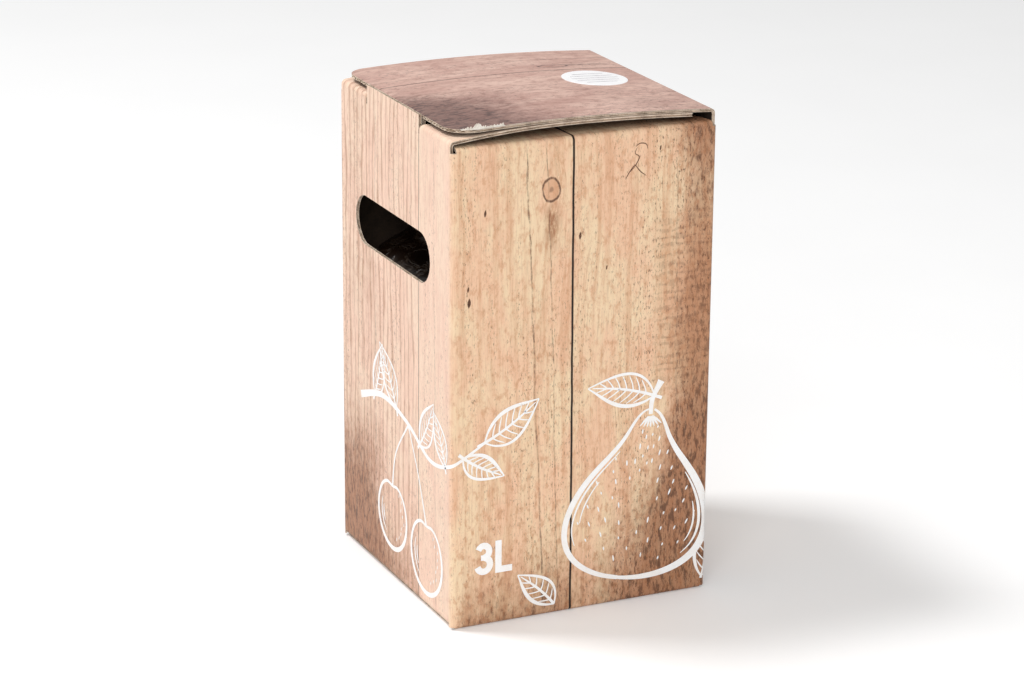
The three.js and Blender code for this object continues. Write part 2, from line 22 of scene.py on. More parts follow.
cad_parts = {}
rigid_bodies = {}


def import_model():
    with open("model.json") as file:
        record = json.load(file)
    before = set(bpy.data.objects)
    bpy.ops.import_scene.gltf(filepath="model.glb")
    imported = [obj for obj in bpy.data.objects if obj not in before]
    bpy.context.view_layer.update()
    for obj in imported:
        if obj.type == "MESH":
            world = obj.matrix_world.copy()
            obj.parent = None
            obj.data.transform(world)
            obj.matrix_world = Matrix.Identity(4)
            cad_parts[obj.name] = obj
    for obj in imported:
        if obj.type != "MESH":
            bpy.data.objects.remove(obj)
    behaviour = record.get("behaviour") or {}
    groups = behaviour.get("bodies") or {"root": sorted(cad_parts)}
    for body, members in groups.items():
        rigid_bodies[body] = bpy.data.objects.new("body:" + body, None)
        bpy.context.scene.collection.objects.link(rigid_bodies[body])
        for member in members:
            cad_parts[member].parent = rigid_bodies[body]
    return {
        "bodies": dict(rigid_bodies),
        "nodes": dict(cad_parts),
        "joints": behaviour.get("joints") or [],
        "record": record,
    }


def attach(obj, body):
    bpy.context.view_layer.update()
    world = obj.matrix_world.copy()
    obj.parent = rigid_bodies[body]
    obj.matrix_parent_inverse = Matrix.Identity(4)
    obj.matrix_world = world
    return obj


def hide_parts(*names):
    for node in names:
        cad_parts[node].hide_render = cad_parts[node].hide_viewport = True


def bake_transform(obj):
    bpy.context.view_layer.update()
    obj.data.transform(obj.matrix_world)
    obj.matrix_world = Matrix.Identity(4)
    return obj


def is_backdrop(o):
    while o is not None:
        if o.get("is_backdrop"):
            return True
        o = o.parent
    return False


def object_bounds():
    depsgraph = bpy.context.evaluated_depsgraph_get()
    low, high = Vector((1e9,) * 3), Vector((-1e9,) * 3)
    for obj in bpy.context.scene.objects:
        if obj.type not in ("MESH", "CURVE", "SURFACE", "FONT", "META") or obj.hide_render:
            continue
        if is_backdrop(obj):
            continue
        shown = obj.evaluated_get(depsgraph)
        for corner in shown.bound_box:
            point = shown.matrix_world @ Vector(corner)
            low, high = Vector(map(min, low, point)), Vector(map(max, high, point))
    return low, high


log = logging.getLogger("carton")

MM = 0.001

Point = tuple[float, float]
Point3 = tuple[float, float, float]
Folding = Callable[[float, float, float], Vector]
Socket = bpy.types.NodeSocket
Material = bpy.types.Material
Piece = bpy.types.Object


# Helpers for numbers and meshes


def add_object(name: str, data: bpy.types.ID) -> Piece:
    """Makes an object at the origin and links it to the scene."""
    obj = bpy.data.objects.new(name, data)
    bpy.context.scene.collection.objects.link(obj)
    return obj


def clamp(value: float, low: float, high: float) -> float:
    """Returns value, kept between low and high."""
    return max(low, min(high, value))


def smooth(value: float, low: float, high: float) -> float:
    """Returns 0 below low and 1 above high, with a smooth step between them."""
    t = clamp((value - low) / (high - low), 0.0, 1.0)
    return t * t * (3.0 - 2.0 * t)


def steps(start: float, end: float, count: int) -> list[float]:
    """Returns count + 1 even values from start to end."""
    return [start + (end - start) * i / count for i in range(count + 1)]


def scatter(index: int, salt: float = 0.0) -> float:
    """Returns a fixed number between 0 and 1 that looks random, for an index and a salt."""
    return math.modf(abs(math.sin(index * 12.9898 + salt * 78.233) * 43758.5453))[0]


def linear(code: str) -> tuple[float, float, float, float]:
    """Turns a hex colour into Blender's linear colour.

    Args:
        code: The colour as six hex digits.

    Returns:
        The linear red, green, blue and an alpha of 1.
    """
    values = [int(code[i : i + 2], 16) / 255 for i in (0, 2, 4)]
    red, green, blue = ((c / 12.92) if c <= 0.04045 else ((c + 0.055) / 1.055) ** 2.4 for c in values)
    return red, green, blue, 1.0


@dataclass
class MeshParts:
    """The corners, faces, materials and blank coordinates of a mesh that is being built."""

    corners: list[Vector] = field(default_factory=list)
    faces: list[list[int]] = field(default_factory=list)
    finishes: list[int] = field(default_factory=list)
    blank: list[Point] = field(default_factory=list)

    def add_corner(self, place: Vector, blank: Point) -> int:
        """Adds a corner.

        Args:
            place: Where it is, in millimetres.
            blank: Its place on the flat blank, in millimetres.

        Returns:
            Its number.
        """
        self.corners.append(place)
        self.blank.append(blank)
        return len(self.corners) - 1

    def add_face(self, corners: Iterable[int], finish: int = 0) -> None:
        """Adds a face, unless two or fewer of its corners differ.

        Args:
            corners: The numbers of its corners.
            finish: The number of its material.
        """
        ring = list(dict.fromkeys(corners))
        if len(ring) > 2:
            self.faces.append(ring)
            self.finishes.append(finish)

    def build(self, name: str, materials: Sequence[Material], crease: float = 35.0) -> Piece:
        """Makes the object.

        Args:
            name: The object's name.
            materials: Its materials, in the order of the face finishes.
            crease: The angle in degrees above which an edge stays sharp.

        Returns:
            The object, at the origin, linked to the scene.
        """
        mesh = bpy.data.meshes.new(name)
        mesh.from_pydata([tuple(c * MM for c in corner) for corner in self.corners], [], self.faces)
        for material in materials:
            mesh.materials.append(material)
        mesh.polygons.foreach_set("material_index", self.finishes)
        mesh.polygons.foreach_set("use_smooth", [True] * len(self.faces))
        layer = mesh.uv_layers.new(name="blank")
        flat = [c * MM for loop in mesh.loops for c in self.blank[loop.vertex_index]]
        layer.data.foreach_set("uv", flat)
        mesh.update()
        mesh.set_sharp_from_angle(angle=math.radians(crease))
        return add_object(name, mesh)


# Shader graphs


@dataclass(frozen=True)
class Value:
    """A number that a shader socket gives, with the usual operators."""

    graph: Graph
    socket: Socket

    def __add__(self, other: Value | float) -> Value:
        """Returns the sum."""
        return self.graph.math("ADD", self, other)

    def __radd__(self, other: float) -> Value:
        """Returns the sum, reflected."""
        return self.graph.math("ADD", other, self)

    def __sub__(self, other: Value | float) -> Value:
        """Returns the difference."""
        return self.graph.math("SUBTRACT", self, other)

    def __rsub__(self, other: float) -> Value:
        """Returns the difference, reflected."""
        return self.graph.math("SUBTRACT", other, self)

    def __mul__(self, other: Value | float) -> Value:
        """Returns the product."""
        return self.graph.math("MULTIPLY", self, other)

    def __rmul__(self, other: float) -> Value:
        """Returns the product, reflected."""
        return self.graph.math("MULTIPLY", other, self)

    def __truediv__(self, other: Value | float) -> Value:
        """Returns the quotient."""
        return self.graph.math("DIVIDE", self, other)

    def __pow__(self, other: Value | float) -> Value:
        """Returns the power."""
        return self.graph.math("POWER", self, other)

    def __abs__(self) -> Value:
        """Returns the absolute value."""
        return self.graph.math("ABSOLUTE", self)

    def above(self, other: Value | float) -> Value:
        """Returns 1 where this is greater than other, and 0 elsewhere."""
        return self.graph.math("GREATER_THAN", self, other)

    def least(self, other: Value | float) -> Value:
        """Returns the smaller of the two."""
        return self.graph.math("MINIMUM", self, other)

    def most(self, other: Value | float) -> Value:
        """Returns the larger of the two."""
        return self.graph.math("MAXIMUM", self, other)

    def ease(self, low: float, high: float, start: float = 0.0, end: float = 1.0) -> Value:
        """Adds a smooth step.

        Args:
            low: Where the step starts; it may lie above high.
            high: Where it ends.
            start: The value before the step.
            end: The value after it.

        Returns:
            The stepped value.
        """
        made = self.graph.node(
            "ShaderNodeMapRange",
            {"interpolation_type": "SMOOTHSTEP"},
            {"Value": self, "From Min": low, "From Max": high, "To Min": start, "To Max": end},
        )
        return Value(self.graph, made.outputs["Result"])


class Graph:
    """A material's node tree, with short ways to add its nodes."""

    def __init__(self, name: str) -> None:
        """Makes an empty material with a Principled shader."""
        self.material = bpy.data.materials.new(name)
        self.material.use_nodes = True
        self.tree = self.material.node_tree
        self.shader = self.tree.nodes["Principled BSDF"]

    def plug(self, socket: Socket, value: object) -> None:
        """Links or sets one input.

        Args:
            socket: The input.
            value: A value or a socket to link, or a plain value to set.
        """
        if isinstance(value, Value):
            self.tree.links.new(value.socket, socket)
        elif isinstance(value, Socket):
            self.tree.links.new(value, socket)
        else:
            socket.default_value = value

    def node(
        self, kind: str, settings: dict[str, object] | None = None, inputs: dict[object, object] | None = None
    ) -> bpy.types.Node:
        """Adds a node.

        Args:
            kind: The node's type.
            settings: Its properties, which are set first.
            inputs: The values or links of its sockets, by name or number.

        Returns:
            The node.
        """
        made = self.tree.nodes.new(kind)
        for key, value in (settings or {}).items():
            setattr(made, key, value)
        for key, value in (inputs or {}).items():
            self.plug(made.inputs[key], value)
        return made

    def math(self, operation: str, first: Value | float, second: Value | float = 0.0) -> Value:
        """Adds a Math node and returns its value."""
        made = self.node("ShaderNodeMath", {"operation": operation}, {0: first, 1: second})
        return Value(self, made.outputs[0])

    def vector(self, x: Value | float, y: Value | float, z: Value | float = 0.0) -> Socket:
        """Returns a vector of three numbers."""
        return self.node("ShaderNodeCombineXYZ", inputs={"X": x, "Y": y, "Z": z}).outputs["Vector"]

    def split(self, vector: Socket) -> tuple[Value, Value, Value]:
        """Returns a vector's three numbers."""
        made = self.node("ShaderNodeSeparateXYZ", inputs={"Vector": vector})
        return tuple(Value(self, made.outputs[axis]) for axis in ("X", "Y", "Z"))

    def noise(
        self,
        vector: Socket,
        scale: float = 1.0,
        detail: float = 2.0,
        rough: float = 0.5,
        bend: float = 0.0,
    ) -> Value:
        """Adds smooth noise.

        Args:
            vector: The place that it is read at.
            scale: How many times it varies in a unit.
            detail: How many finer layers it has.
            rough: The strength of the finer layers.
            bend: How far it is distorted.

        Returns:
            The noise, between 0 and 1.
        """
        made = self.node(
            "ShaderNodeTexNoise",
            {"noise_dimensions": "3D"},
            {"Vector": vector, "Scale": scale, "Detail": detail, "Roughness": rough, "Distortion": bend},
        )
        return Value(self, made.outputs["Fac"])

    def mix(self, share: Value | float, first: object, second: object) -> Socket:
        """Mixes two colours by a share of the second and returns the colour."""
        made = self.node("ShaderNodeMix", {"data_type": "RGBA"}, {0: share, 6: first, 7: second})
        return made.outputs[2]

    def bump(self, height: Value, depth: float) -> None:
        """Feeds a height between 0 and 1 to the shader's normal; depth is in millimetres."""
        made = self.node("ShaderNodeBump", inputs={"Height": height, "Distance": depth * MM, "Strength": 1.0})
        self.plug(self.shader.inputs["Normal"], made.outputs["Normal"])

    def finish(self, **inputs: object) -> Material:
        """Sets the shader's inputs, written with _ for a space, and returns the material."""
        for key, value in inputs.items():
            self.plug(self.shader.inputs[key.replace("_", " ")], value)
        return self.material


# Finishes


@dataclass(frozen=True)
class PlankGap:
    """A dark line between two printed planks, running up the blank."""

    across: float
    lean: float
    width: float
    depth: float


@dataclass(frozen=True)
class Knot:
    """A printed knot: where it is, its half sizes and how dark its ring is."""

    across: float
    up: float
    half_width: float
    half_height: float
    ring: float


@dataclass(frozen=True)
class Crack:
    """A broken, wandering dark line along the grain, with its place at the bottom and the top."""

    across_low: float
    across_high: float
    low: float
    high: float
    width: float
    strength: float


@dataclass(frozen=True)
class WoodTones:
    """The colours of a plank print, from light to dark."""

    pale: str
    light: str
    middle: str
    brown: str
    deep: str
    line: str


@dataclass
class WoodPrint:
    """The liner's print of old planks, drawn in blank coordinates so that it runs round every fold.

    Attributes:
        name: The material's name.
        tones: Its colours.
        ridge: The depth of its relief, in millimetres.
        blush: The colour that the left wall is blushed with, by blush_share.
        grey: The colour that the right wall greys to near the lid, by grey_share.
        reed_pitch: The distance between the left wall's even grain lines, drawn by reed_share.
        chatter_pitch: The distance between the saw's marks, drawn by chatter_share.
    """

    name: str
    tones: WoodTones
    ridge: float = 0.03
    blush: str = "f9dccf"
    blush_share: float = 0.5
    grey: str = "d2ab9d"
    grey_share: float = 0.85
    reed_pitch: float = 5.2
    reed_share: float = 0.6
    chatter_pitch: float = 4.4
    chatter_share: float = 0.3
    gaps: tuple[PlankGap, ...] = (
        PlankGap(-318.0, 0.0, 0.9, 0.9),
        PlankGap(-214.0, 0.0, 0.9, 0.9),
        PlankGap(-106.0, 0.004, 0.55, 0.75),
        PlankGap(-5.3, -0.0058, 1.0, 1.0),
        PlankGap(159.6, 0.0, 0.7, 0.8),
    )
    knots: tuple[Knot, ...] = (
        Knot(-17.9, 211.6, 4.4, 5.6, 1.0),
        Knot(168.0, 278.0, 2.6, 7.5, 0.9),
        Knot(-101.0, 60.0, 1.5, 4.0, 0.35),
        Knot(112.0, 150.0, 5.0, 8.0, 0.9),
        Knot(-246.0, 96.0, 6.0, 9.0, 0.9),
    )
    cracks: tuple[Crack, ...] = (
        Crack(-19.5, -31.0, 0.0, 236.0, 0.5, 0.8),
        Crack(-11.5, -20.0, 0.0, 236.0, 0.36, 0.65),
        Crack(52.0, 47.0, 10.0, 225.0, 0.5, 0.4),
        Crack(-85.0, -88.0, 0.0, 239.0, 0.4, 0.45),
        Crack(-160.0, -158.0, 0.0, 239.0, 0.6, 0.5),
        Crack(182.5, 181.5, 236.0, 380.0, 0.45, 0.65),
        Crack(120.0, 124.0, 0.0, 236.0, 0.6, 0.6),
    )

    def near(self, graph: Graph, across: Value, up: Value, knot: Knot) -> Value:
        """Returns how far a point is from a knot's middle, in knot sizes."""
        x, y = (across - knot.across) / knot.half_width, (up - knot.up) / knot.half_height
        return graph.math("SQRT", x**2.0 + y**2.0)

    def crack_mask(self, graph: Graph, across: Value, up: Value, crack: Crack, seed: int) -> Value:
        """Draws a crack, broken along its length.

        Args:
            graph: The material's nodes.
            across: The place across the blank, in millimetres.
            up: The place up the blank.
            crack: The crack.
            seed: A number that sets how it wanders.

        Returns:
            The crack's strength on it, and 0 beside it.
        """
        slope = (crack.across_high - crack.across_low) / (crack.high - crack.low)
        wander = graph.noise(graph.vector(up * 0.03, seed * 5.3, 0.0), detail=4.0, rough=0.6) - 0.5
        line = across - (up - crack.low) * slope - crack.across_low - wander * 4.0
        thick = graph.noise(graph.vector(up * 0.22, seed * 2.7, 3.0), detail=3.0)
        body = abs(line) / (thick * crack.width * 2.0)
        span = up.ease(crack.low, crack.low + 10.0) * up.ease(crack.high - 10.0, crack.high, 1.0, 0.0)
        torn = graph.noise(graph.vector(up * 0.07, seed * 1.9, 8.0), detail=4.0, rough=0.7).ease(0.32, 0.6)
        return body.ease(0.35, 1.3, 1.0, 0.0) * span * torn * crack.strength

    def build(self) -> Material:
        """Returns the material."""
        graph = Graph(self.name)
        tones = self.tones
        uv = graph.node("ShaderNodeUVMap", {"uv_map": "blank"}).outputs["UV"]
        raw_across, raw_up, _ = graph.split(uv)
        across = raw_across / MM
        up = raw_up / MM

        planks = []
        gap_masks = []
        for gap in self.gaps:
            waver = (graph.noise(graph.vector(up * 0.05, gap.across, 0.0), detail=3.0) - 0.5) * 0.7
            line = across - gap.across - up * gap.lean - waver
            planks.append(line.above(0.0))
            gap_masks.append(abs(line).ease(gap.width * 0.35, gap.width * 0.75, gap.depth, 0.0))
        plank = reduce(operator.add, planks)
        gap_mask = reduce(Value.most, gap_masks)

        pull: Value | float = 0.0
        for knot in self.knots:
            away = self.near(graph, across, up, knot)
            side = (across - knot.across) / knot.half_width
            pull = pull + side * away.ease(0.4, 3.2, 1.0, 0.0) * -2.2

        sway = (graph.noise(graph.vector(across * 0.02, up * 0.006, plank * 9.0), detail=2.0) - 0.5) * 16.0
        grain_across = across + sway + pull
        fibre = graph.noise(graph.vector(grain_across * 1.6, up * 0.06, plank * 3.7), detail=5.0, rough=0.66)
        along = graph.vector(grain_across * 0.3, up * 0.011, plank * 5.1)
        streak = graph.noise(along, detail=5.0, rough=0.62)
        band = graph.noise(graph.vector(grain_across * 0.13, up * 0.007, plank * 2.3), detail=3.0, rough=0.6)
        cloud = graph.noise(graph.vector(across * 0.022, up * 0.016, plank * 6.1), detail=4.0, rough=0.6)
        blush = graph.noise(graph.vector(across * 0.06, up * 0.022, plank * 4.4), detail=4.0, rough=0.6)
        mottle = graph.noise(graph.vector(across * 0.36, up * 0.17, 9.0), detail=5.0, rough=0.7)
        grit = graph.noise(graph.vector(across * 1.25, up * 0.4, 4.0), detail=4.0, rough=0.72)
        stain = graph.noise(graph.vector(across * 0.5, up * 0.14, 14.0), detail=4.0, rough=0.7)

        side = across.ease(-66.0, -72.0) * self.blush_share
        greyed = across.ease(66.0, 76.0) * up.ease(150.0, 232.0) * self.grey_share
        zone = self.zones(across, up)
        # Darker zones low down and at the front's right, with painted shade at the back of the left wall,
        # varied by the noise.
        dark_zones_and_shade = (zone + (cloud - 0.5) + (mottle - 0.5) * 0.5).ease(0.15, 0.95)

        colour = graph.mix(blush.ease(0.38, 0.62), linear(tones.light), linear(tones.pale))
        colour = graph.mix(streak.ease(0.46, 0.68) * 0.45, colour, linear(tones.middle))
        colour = graph.mix(mottle.ease(0.47, 0.66) * (0.55 + zone * 0.3), colour, linear(tones.middle))
        colour = graph.mix(mottle.ease(0.46, 0.28) * 0.35, colour, linear(tones.pale))
        colour = graph.mix(side, colour, linear(self.blush))
        colour = graph.mix(greyed, colour, linear(self.grey))
        colour = graph.mix(dark_zones_and_shade * 0.85, colour, linear(tones.brown))
        # Deeper patches where the stains fall in these zones, partly painted shade.
        stained_zones_and_shade = (dark_zones_and_shade * stain.ease(0.4, 0.66)).ease(0.15, 0.9)
        colour = graph.mix(stained_zones_and_shade * 0.8, colour, linear(tones.deep))
        colour = graph.mix(fibre.ease(0.48, 0.74) * 0.34, colour, linear(tones.brown))
        colour = graph.mix(fibre.ease(0.46, 0.24) * 0.22, colour, linear(tones.pale))
        colour = self.add_reeds(graph, colour, across, up, mottle)
        colour = self.add_chatter(graph, colour, across, up, stain)
        rough_plank = across.ease(2.0, 30.0) * across.ease(90.0, 68.0)
        dusty = band.ease(0.44, 0.62) * 0.65 + dark_zones_and_shade * 0.35 + rough_plank * 0.3 + 0.14
        colour = graph.mix((grit.ease(0.54, 0.67) * dusty).least(0.85), colour, linear(tones.deep))
        colour = graph.mix(grit.ease(0.38, 0.28) * 0.3, colour, linear(tones.pale))

        masks = [self.crack_mask(graph, across, up, crack, i + 1) for i, crack in enumerate(self.cracks)]
        marks = reduce(Value.most, masks) * (grit.ease(0.34, 0.56) * 0.75 + 0.25)
        for knot in self.knots:
            away = self.near(graph, across + (mottle - 0.5) * 2.6, up + (blush - 0.5) * 3.0, knot)
            ring = abs(away - 1.0).ease(0.03, 0.17, 1.0, 0.0) * (stain.ease(0.3, 0.5) * 0.5 + 0.5) * knot.ring
            heart = away.ease(0.12, 0.34, 0.55, 0.0) * knot.ring
            colour = graph.mix(away.ease(0.8, 1.05, 0.35, 0.0) * knot.ring, colour, linear(tones.middle))
            tail = abs(across - knot.across - 0.8).ease(0.0, knot.half_width * 1.3, 1.0, 0.0)
            below = (knot.up - up).ease(4.0, 12.0) * (knot.up - up).ease(16.0, 36.0, 1.0, 0.0)
            blotch = tail * below * stain.ease(0.3, 0.6) * knot.ring * 0.95
            colour = graph.mix(blotch, colour, linear(tones.brown))
            marks = marks.most(ring).most(heart)
        colour = graph.mix(marks.least(1.0) * 0.9, colour, linear(tones.deep))
        colour = graph.mix(gap_mask, colour, linear(tones.line))

        flute = graph.math("SINE", across * (2.0 * math.pi / Board.pitch)) * 0.5 + 0.5
        graph.bump(flute * 0.6 + fibre * 0.25 - gap_mask * 0.35, self.ridge)
        rough = 0.5 + (mottle - 0.5) * 0.16 + gap_mask * 0.15
        return graph.finish(Base_Color=colour, Roughness=rough, Specular_IOR_Level=0.4)

    def add_reeds(self, graph: Graph, colour: Socket, across: Value, up: Value, mottle: Value) -> Socket:
        """Adds the close, even grain lines of the left wall's rear plank.

        Args:
            graph: The material's nodes.
            colour: The colour so far.
            across: The place across the print.
            up: The place up the print.
            mottle: The wood's soft patches.

        Returns:
            The colour with the lines.
        """
        drift = graph.vector(across * 0.09, up * 0.012, 30.0)
        waver = (graph.noise(drift, detail=4.0, rough=0.6) - 0.5) * 13.0
        line = graph.math("SINE", (across + waver) * (2.0 * math.pi / self.reed_pitch))
        faded = graph.noise(graph.vector(across * 0.3, up * 0.03, 33.0), detail=4.0).ease(0.25, 0.6)
        on_plank = across.ease(-107.0, -110.0) * across.ease(-212.0, -208.0)
        share = line.ease(0.25, 0.98) * (faded * 0.6 + 0.15 + mottle * 0.2) * on_plank * self.reed_share
        colour = graph.mix(share, colour, linear(self.tones.brown))
        return graph.mix(share.ease(0.45, 1.0) * 0.5, colour, linear(self.tones.deep))

    def add_chatter(self, graph: Graph, colour: Socket, across: Value, up: Value, stain: Value) -> Socket:
        """Adds the saw's marks across the grain, at the front wall's right edge.

        Args:
            graph: The material's nodes.
            colour: The colour so far.
            across: The place across the print.
            up: The place up the print.
            stain: The wood's stains.

        Returns:
            The colour with the marks.
        """
        drift = graph.vector(across * 0.05, up * 0.11, 40.0)
        waver = (graph.noise(drift, detail=5.0, rough=0.7) - 0.5) * 13.0
        row = graph.math("SINE", (up + waver) * (2.0 * math.pi / self.chatter_pitch))
        level = up.ease(95.0, 120.0) * up.ease(205.0, 180.0)
        patch = across.ease(34.0, 41.0) * level * across.ease(74.0, 66.0)
        share = row.ease(-0.2, 0.9) * stain.ease(0.34, 0.6) * patch * self.chatter_share
        colour = graph.mix(patch * 0.35, colour, linear(self.tones.middle))
        return graph.mix(share, colour, linear(self.tones.deep))

    def zones(self, across: Value, up: Value) -> Value:
        """Darkens the print low down and towards the right of the front, and paints shade on the back of the
        left wall.

        Args:
            across: The place across the print.
            up: The place up the print.

        Returns:
            How dark each place is.
        """
        low = up.ease(95.0, -10.0) * 0.62
        right = across.ease(34.0, 62.0) * across.ease(92.0, 68.0) * 0.72
        right_low = across.ease(0.0, 60.0) * across.ease(150.0, 68.0) * up.ease(130.0, 20.0) * 0.55
        # Painted shade: the back of the left wall, most of all low down.
        left_low_shade = across.ease(-110.0, -180.0) * up.ease(120.0, 20.0)
        left_back_shade = across.ease(-128.0, -190.0) * 0.3 + left_low_shade * 0.27
        clear_strip = across.ease(-108.0, -100.0) * across.ease(-60.0, -70.0) * 0.55
        return low + right + right_low + left_back_shade - clear_strip


@dataclass
class LidPrint(WoodPrint):
    """The same planks on the lid, greyer towards the free edge."""

    blush_share: float = 0.0
    grey_share: float = 0.0
    reed_share: float = 0.0
    chatter_share: float = 0.0

    def zones(self, across: Value, up: Value) -> Value:
        """Darkens the lid towards its free edge, in front.

        Args:
            across: The place across the print.
            up: The place up the print.

        Returns:
            How dark each place is.
        """
        free_edge = up.ease(300.0, 378.0)
        front = across.ease(165.0, 95.0)
        return free_edge * front * 0.74 + front * 0.32 + free_edge * 0.12


class PlainFinish(Enum):
    """The plain finishes: base colour, darker colour and roughness."""

    KRAFT_EDGE = ("ead9c6", "a38c76", 0.85)
    # The inner face: kraft brown taken near black, partly the board's own colour and partly painted shade
    # inside the box.
    INNER_KRAFT_AND_SHADE = ("3d2e21", "2a1f16", 0.9)
    TORN_LINER = ("efe9df", "cfc3b4", 0.9)
    WHITE_INK = ("ffffff", "fbf6f1", 0.5)
    CUT_SHADOW = ("241913", "120c08", 0.9)
    # Dark wood marks of the print; the same finish paints the shade in the tap door's crease.
    WOOD_MARK_AND_CREASE_SHADE = ("6e4a33", "4a2f20", 0.7)
    LABEL = ("ffffff", "f8f5f7", 0.42)
    LABEL_LINE = ("8f8a90", "a39ea4", 0.5)
    SPOUT = ("eae6da", "d9d3c3", 0.4)
    TAP = ("ecebe8", "dad9d5", 0.32)
    RUBBER = ("333335", "232325", 0.75)
    BUTTON = ("b0201c", "8e1512", 0.3)

    def build(self) -> Material:
        """Returns the material, with a fine mottle, a little relief and varied gloss."""
        base, dark, rough = self.value
        graph = Graph(self.name.lower())
        place = graph.node("ShaderNodeTexCoord").outputs["Object"]
        coarse = graph.noise(place, 180.0, 4.0, 0.6)
        fine = graph.noise(place, 1500.0, 3.0, 0.6)
        share = (coarse * 0.6 + fine * 0.4).ease(0.38, 0.68)
        colour = graph.mix(share, linear(base), linear(dark))
        graph.bump(fine * 0.6 + coarse * 0.4, 0.02 if rough < 0.6 else 0.06)
        return graph.finish(Base_Color=colour, Roughness=rough + (coarse - 0.5) * 0.12)


class JuiceFilm:
    """Clear film over dark juice, its near-black brown partly the juice's amber and partly painted shade of
    the closed box, with a milky bloom along its creases.
    """

    def build(self) -> Material:
        """Returns the material."""
        graph = Graph("juice_film")
        place = graph.node("ShaderNodeTexCoord").outputs["Object"]
        cloud = graph.noise(place, 28.0, 4.0, 0.55)
        crease = abs(graph.noise(place, 60.0, 3.0, 0.6, 0.8) - 0.5).ease(0.0, 0.06, 1.0, 0.0)
        # Painted shade: the juice's amber is taken near black for the dark inside of the box.
        colour = graph.mix(cloud.ease(0.35, 0.7), linear("170b04"), linear("0e0602"))
        colour = graph.mix(crease * 0.12, colour, linear("6b5540"))
        graph.bump(1.0 - crease * 0.7 + cloud * 0.3, 0.5)
        return graph.finish(Base_Color=colour, Roughness=0.3 + crease * 0.2, Specular_IOR_Level=0.3)


# Board


@dataclass(frozen=True)
class Board:
    """Fine-flute corrugated board: two liners with a wavy sheet between them."""

    thickness: float = 1.6
    liner: float = 0.24
    medium: float = 0.18
    pitch: float = 3.3
    samples: int = 8

    @property
    def swing(self) -> float:
        """Half the travel of the wavy sheet's middle."""
        return (self.thickness - 2 * self.liner - self.medium) / 2 + 0.015

    def wave(self, across: float) -> float:
        """Returns the depth of the wavy sheet's middle below the printed face."""
        return -self.thickness / 2 + self.swing * math.cos(2 * math.pi * across / self.pitch)


@dataclass(frozen=True)
class CartonSizes:
    """The carton's driving sizes."""

    width: float = 136.0
    depth: float = 136.0
    front_fold: float = 236.0
    fold_radius: float = 2.4
    layer_gap: float = 0.3
    flap_meet_gap: float = 0.8
    left_step: float = 3.0
    lid_step: float = 2.4
    dust_length: float = 60.0
    dust_taper: float = 0.2
    dust_dip: float = math.radians(1.0)
    inner_flap_length: float = 124.0
    inner_flap_sag: float = 1.95
    inner_meets_lid: float = -10.0
    tab_centre: float = 1.75
    tab_width: float = 62.5
    tab_height: float = 4.4
    slot_side: float = 1.0
    slot_depth: float = 7.5
    slot_splay: float = 4.0
    slot_floor: float = 0.4
    lid_side_gap: float = 2.8
    lid_edge_gap: float = 0.6
    lid_rise: float = 1.5
    lid_bow: float = 2.2
    lid_corner: float = 14.0
    lid_rear_corner: float = 9.0
    tongue_inset: float = 0.9
    tongue_length: float = 16.0
    tongue_lean: float = math.radians(8.0)
    tongue_corner: float = 6.0
    hole_length: float = 91.0
    hole_height: float = 24.8
    hole_y: float = 2.5
    hole_drop: float = 48.3
    seam_width: float = 28.0
    seam_taper: float = 10.0
    corner_foot: float = 1.2
    board: float = 1.6

    @property
    def flat_half(self) -> float:
        """Half the flat width of a wall, between its rounded corners."""
        return self.width / 2 - self.fold_radius

    @property
    def corner_run(self) -> float:
        """The length of the printed face round one corner."""
        return self.fold_radius * math.pi / 2

    @property
    def wall_run(self) -> float:
        """The distance on the blank from the middle of one wall to the next."""
        return 2 * self.flat_half + self.corner_run

    @property
    def ring_top(self) -> float:
        """Where the folds of the front and back walls start."""
        return self.front_fold - self.fold_radius

    @property
    def ring_bottom(self) -> float:
        """Where the folds of the side walls' bottom flaps end."""
        return self.board + self.layer_gap + self.fold_radius

    @property
    def left_top(self) -> float:
        """The height of the left wall's fold."""
        return self.front_fold + self.left_step

    @property
    def lid_fold(self) -> float:
        """The height of the lid's fold."""
        return self.left_top + self.lid_step

    @property
    def lid_edge(self) -> float:
        """The x of the lid's free edge."""
        return -(self.width / 2 - self.board - self.lid_edge_gap)

    @property
    def lid_start(self) -> float:
        """The x where the lid's fold ends and its panel starts."""
        return self.width / 2 - self.fold_radius

    @property
    def hole_centre(self) -> float:
        """The height of the hand hole's middle."""
        return self.front_fold - self.hole_drop - self.hole_height / 2

    def lid_top(self, x: float) -> float:
        """Returns the height of the lid's printed face."""
        t = (self.lid_start - x) / (self.lid_start - self.lid_edge)
        return self.lid_fold + self.lid_rise * t + 4 * self.lid_bow * t * (1 - t)

    def inner_flap_top(self, x: float) -> float:
        """Returns the height of the inner flap's printed face before it settles on its fold."""
        share = max(0.0, (self.inner_meets_lid - x) / (self.inner_meets_lid + self.lid_start))
        return self.lid_top(x) - self.board - self.layer_gap - self.inner_flap_sag * share * share


class Side(Enum):
    """A wall, with its turn about Z and its place in the row of walls on the blank."""

    FRONT = (0, 0)
    RIGHT = (1, 1)
    BACK = (2, -2)
    LEFT = (-1, -1)

    @property
    def turn(self) -> float:
        """The wall's turn about Z, in radians."""
        return self.value[0] * math.pi / 2

    @property
    def order(self) -> int:
        """The wall's place on the blank, counted from the front wall."""
        return self.value[1]


def arc(centre: Point, radius: float, start: float, end: float, count: int = 7) -> list[Point]:
    """Returns the points of an arc, ends included, with the angles in radians."""
    return [
        (centre[0] + radius * math.cos(a), centre[1] + radius * math.sin(a)) for a in steps(start, end, count)
    ]


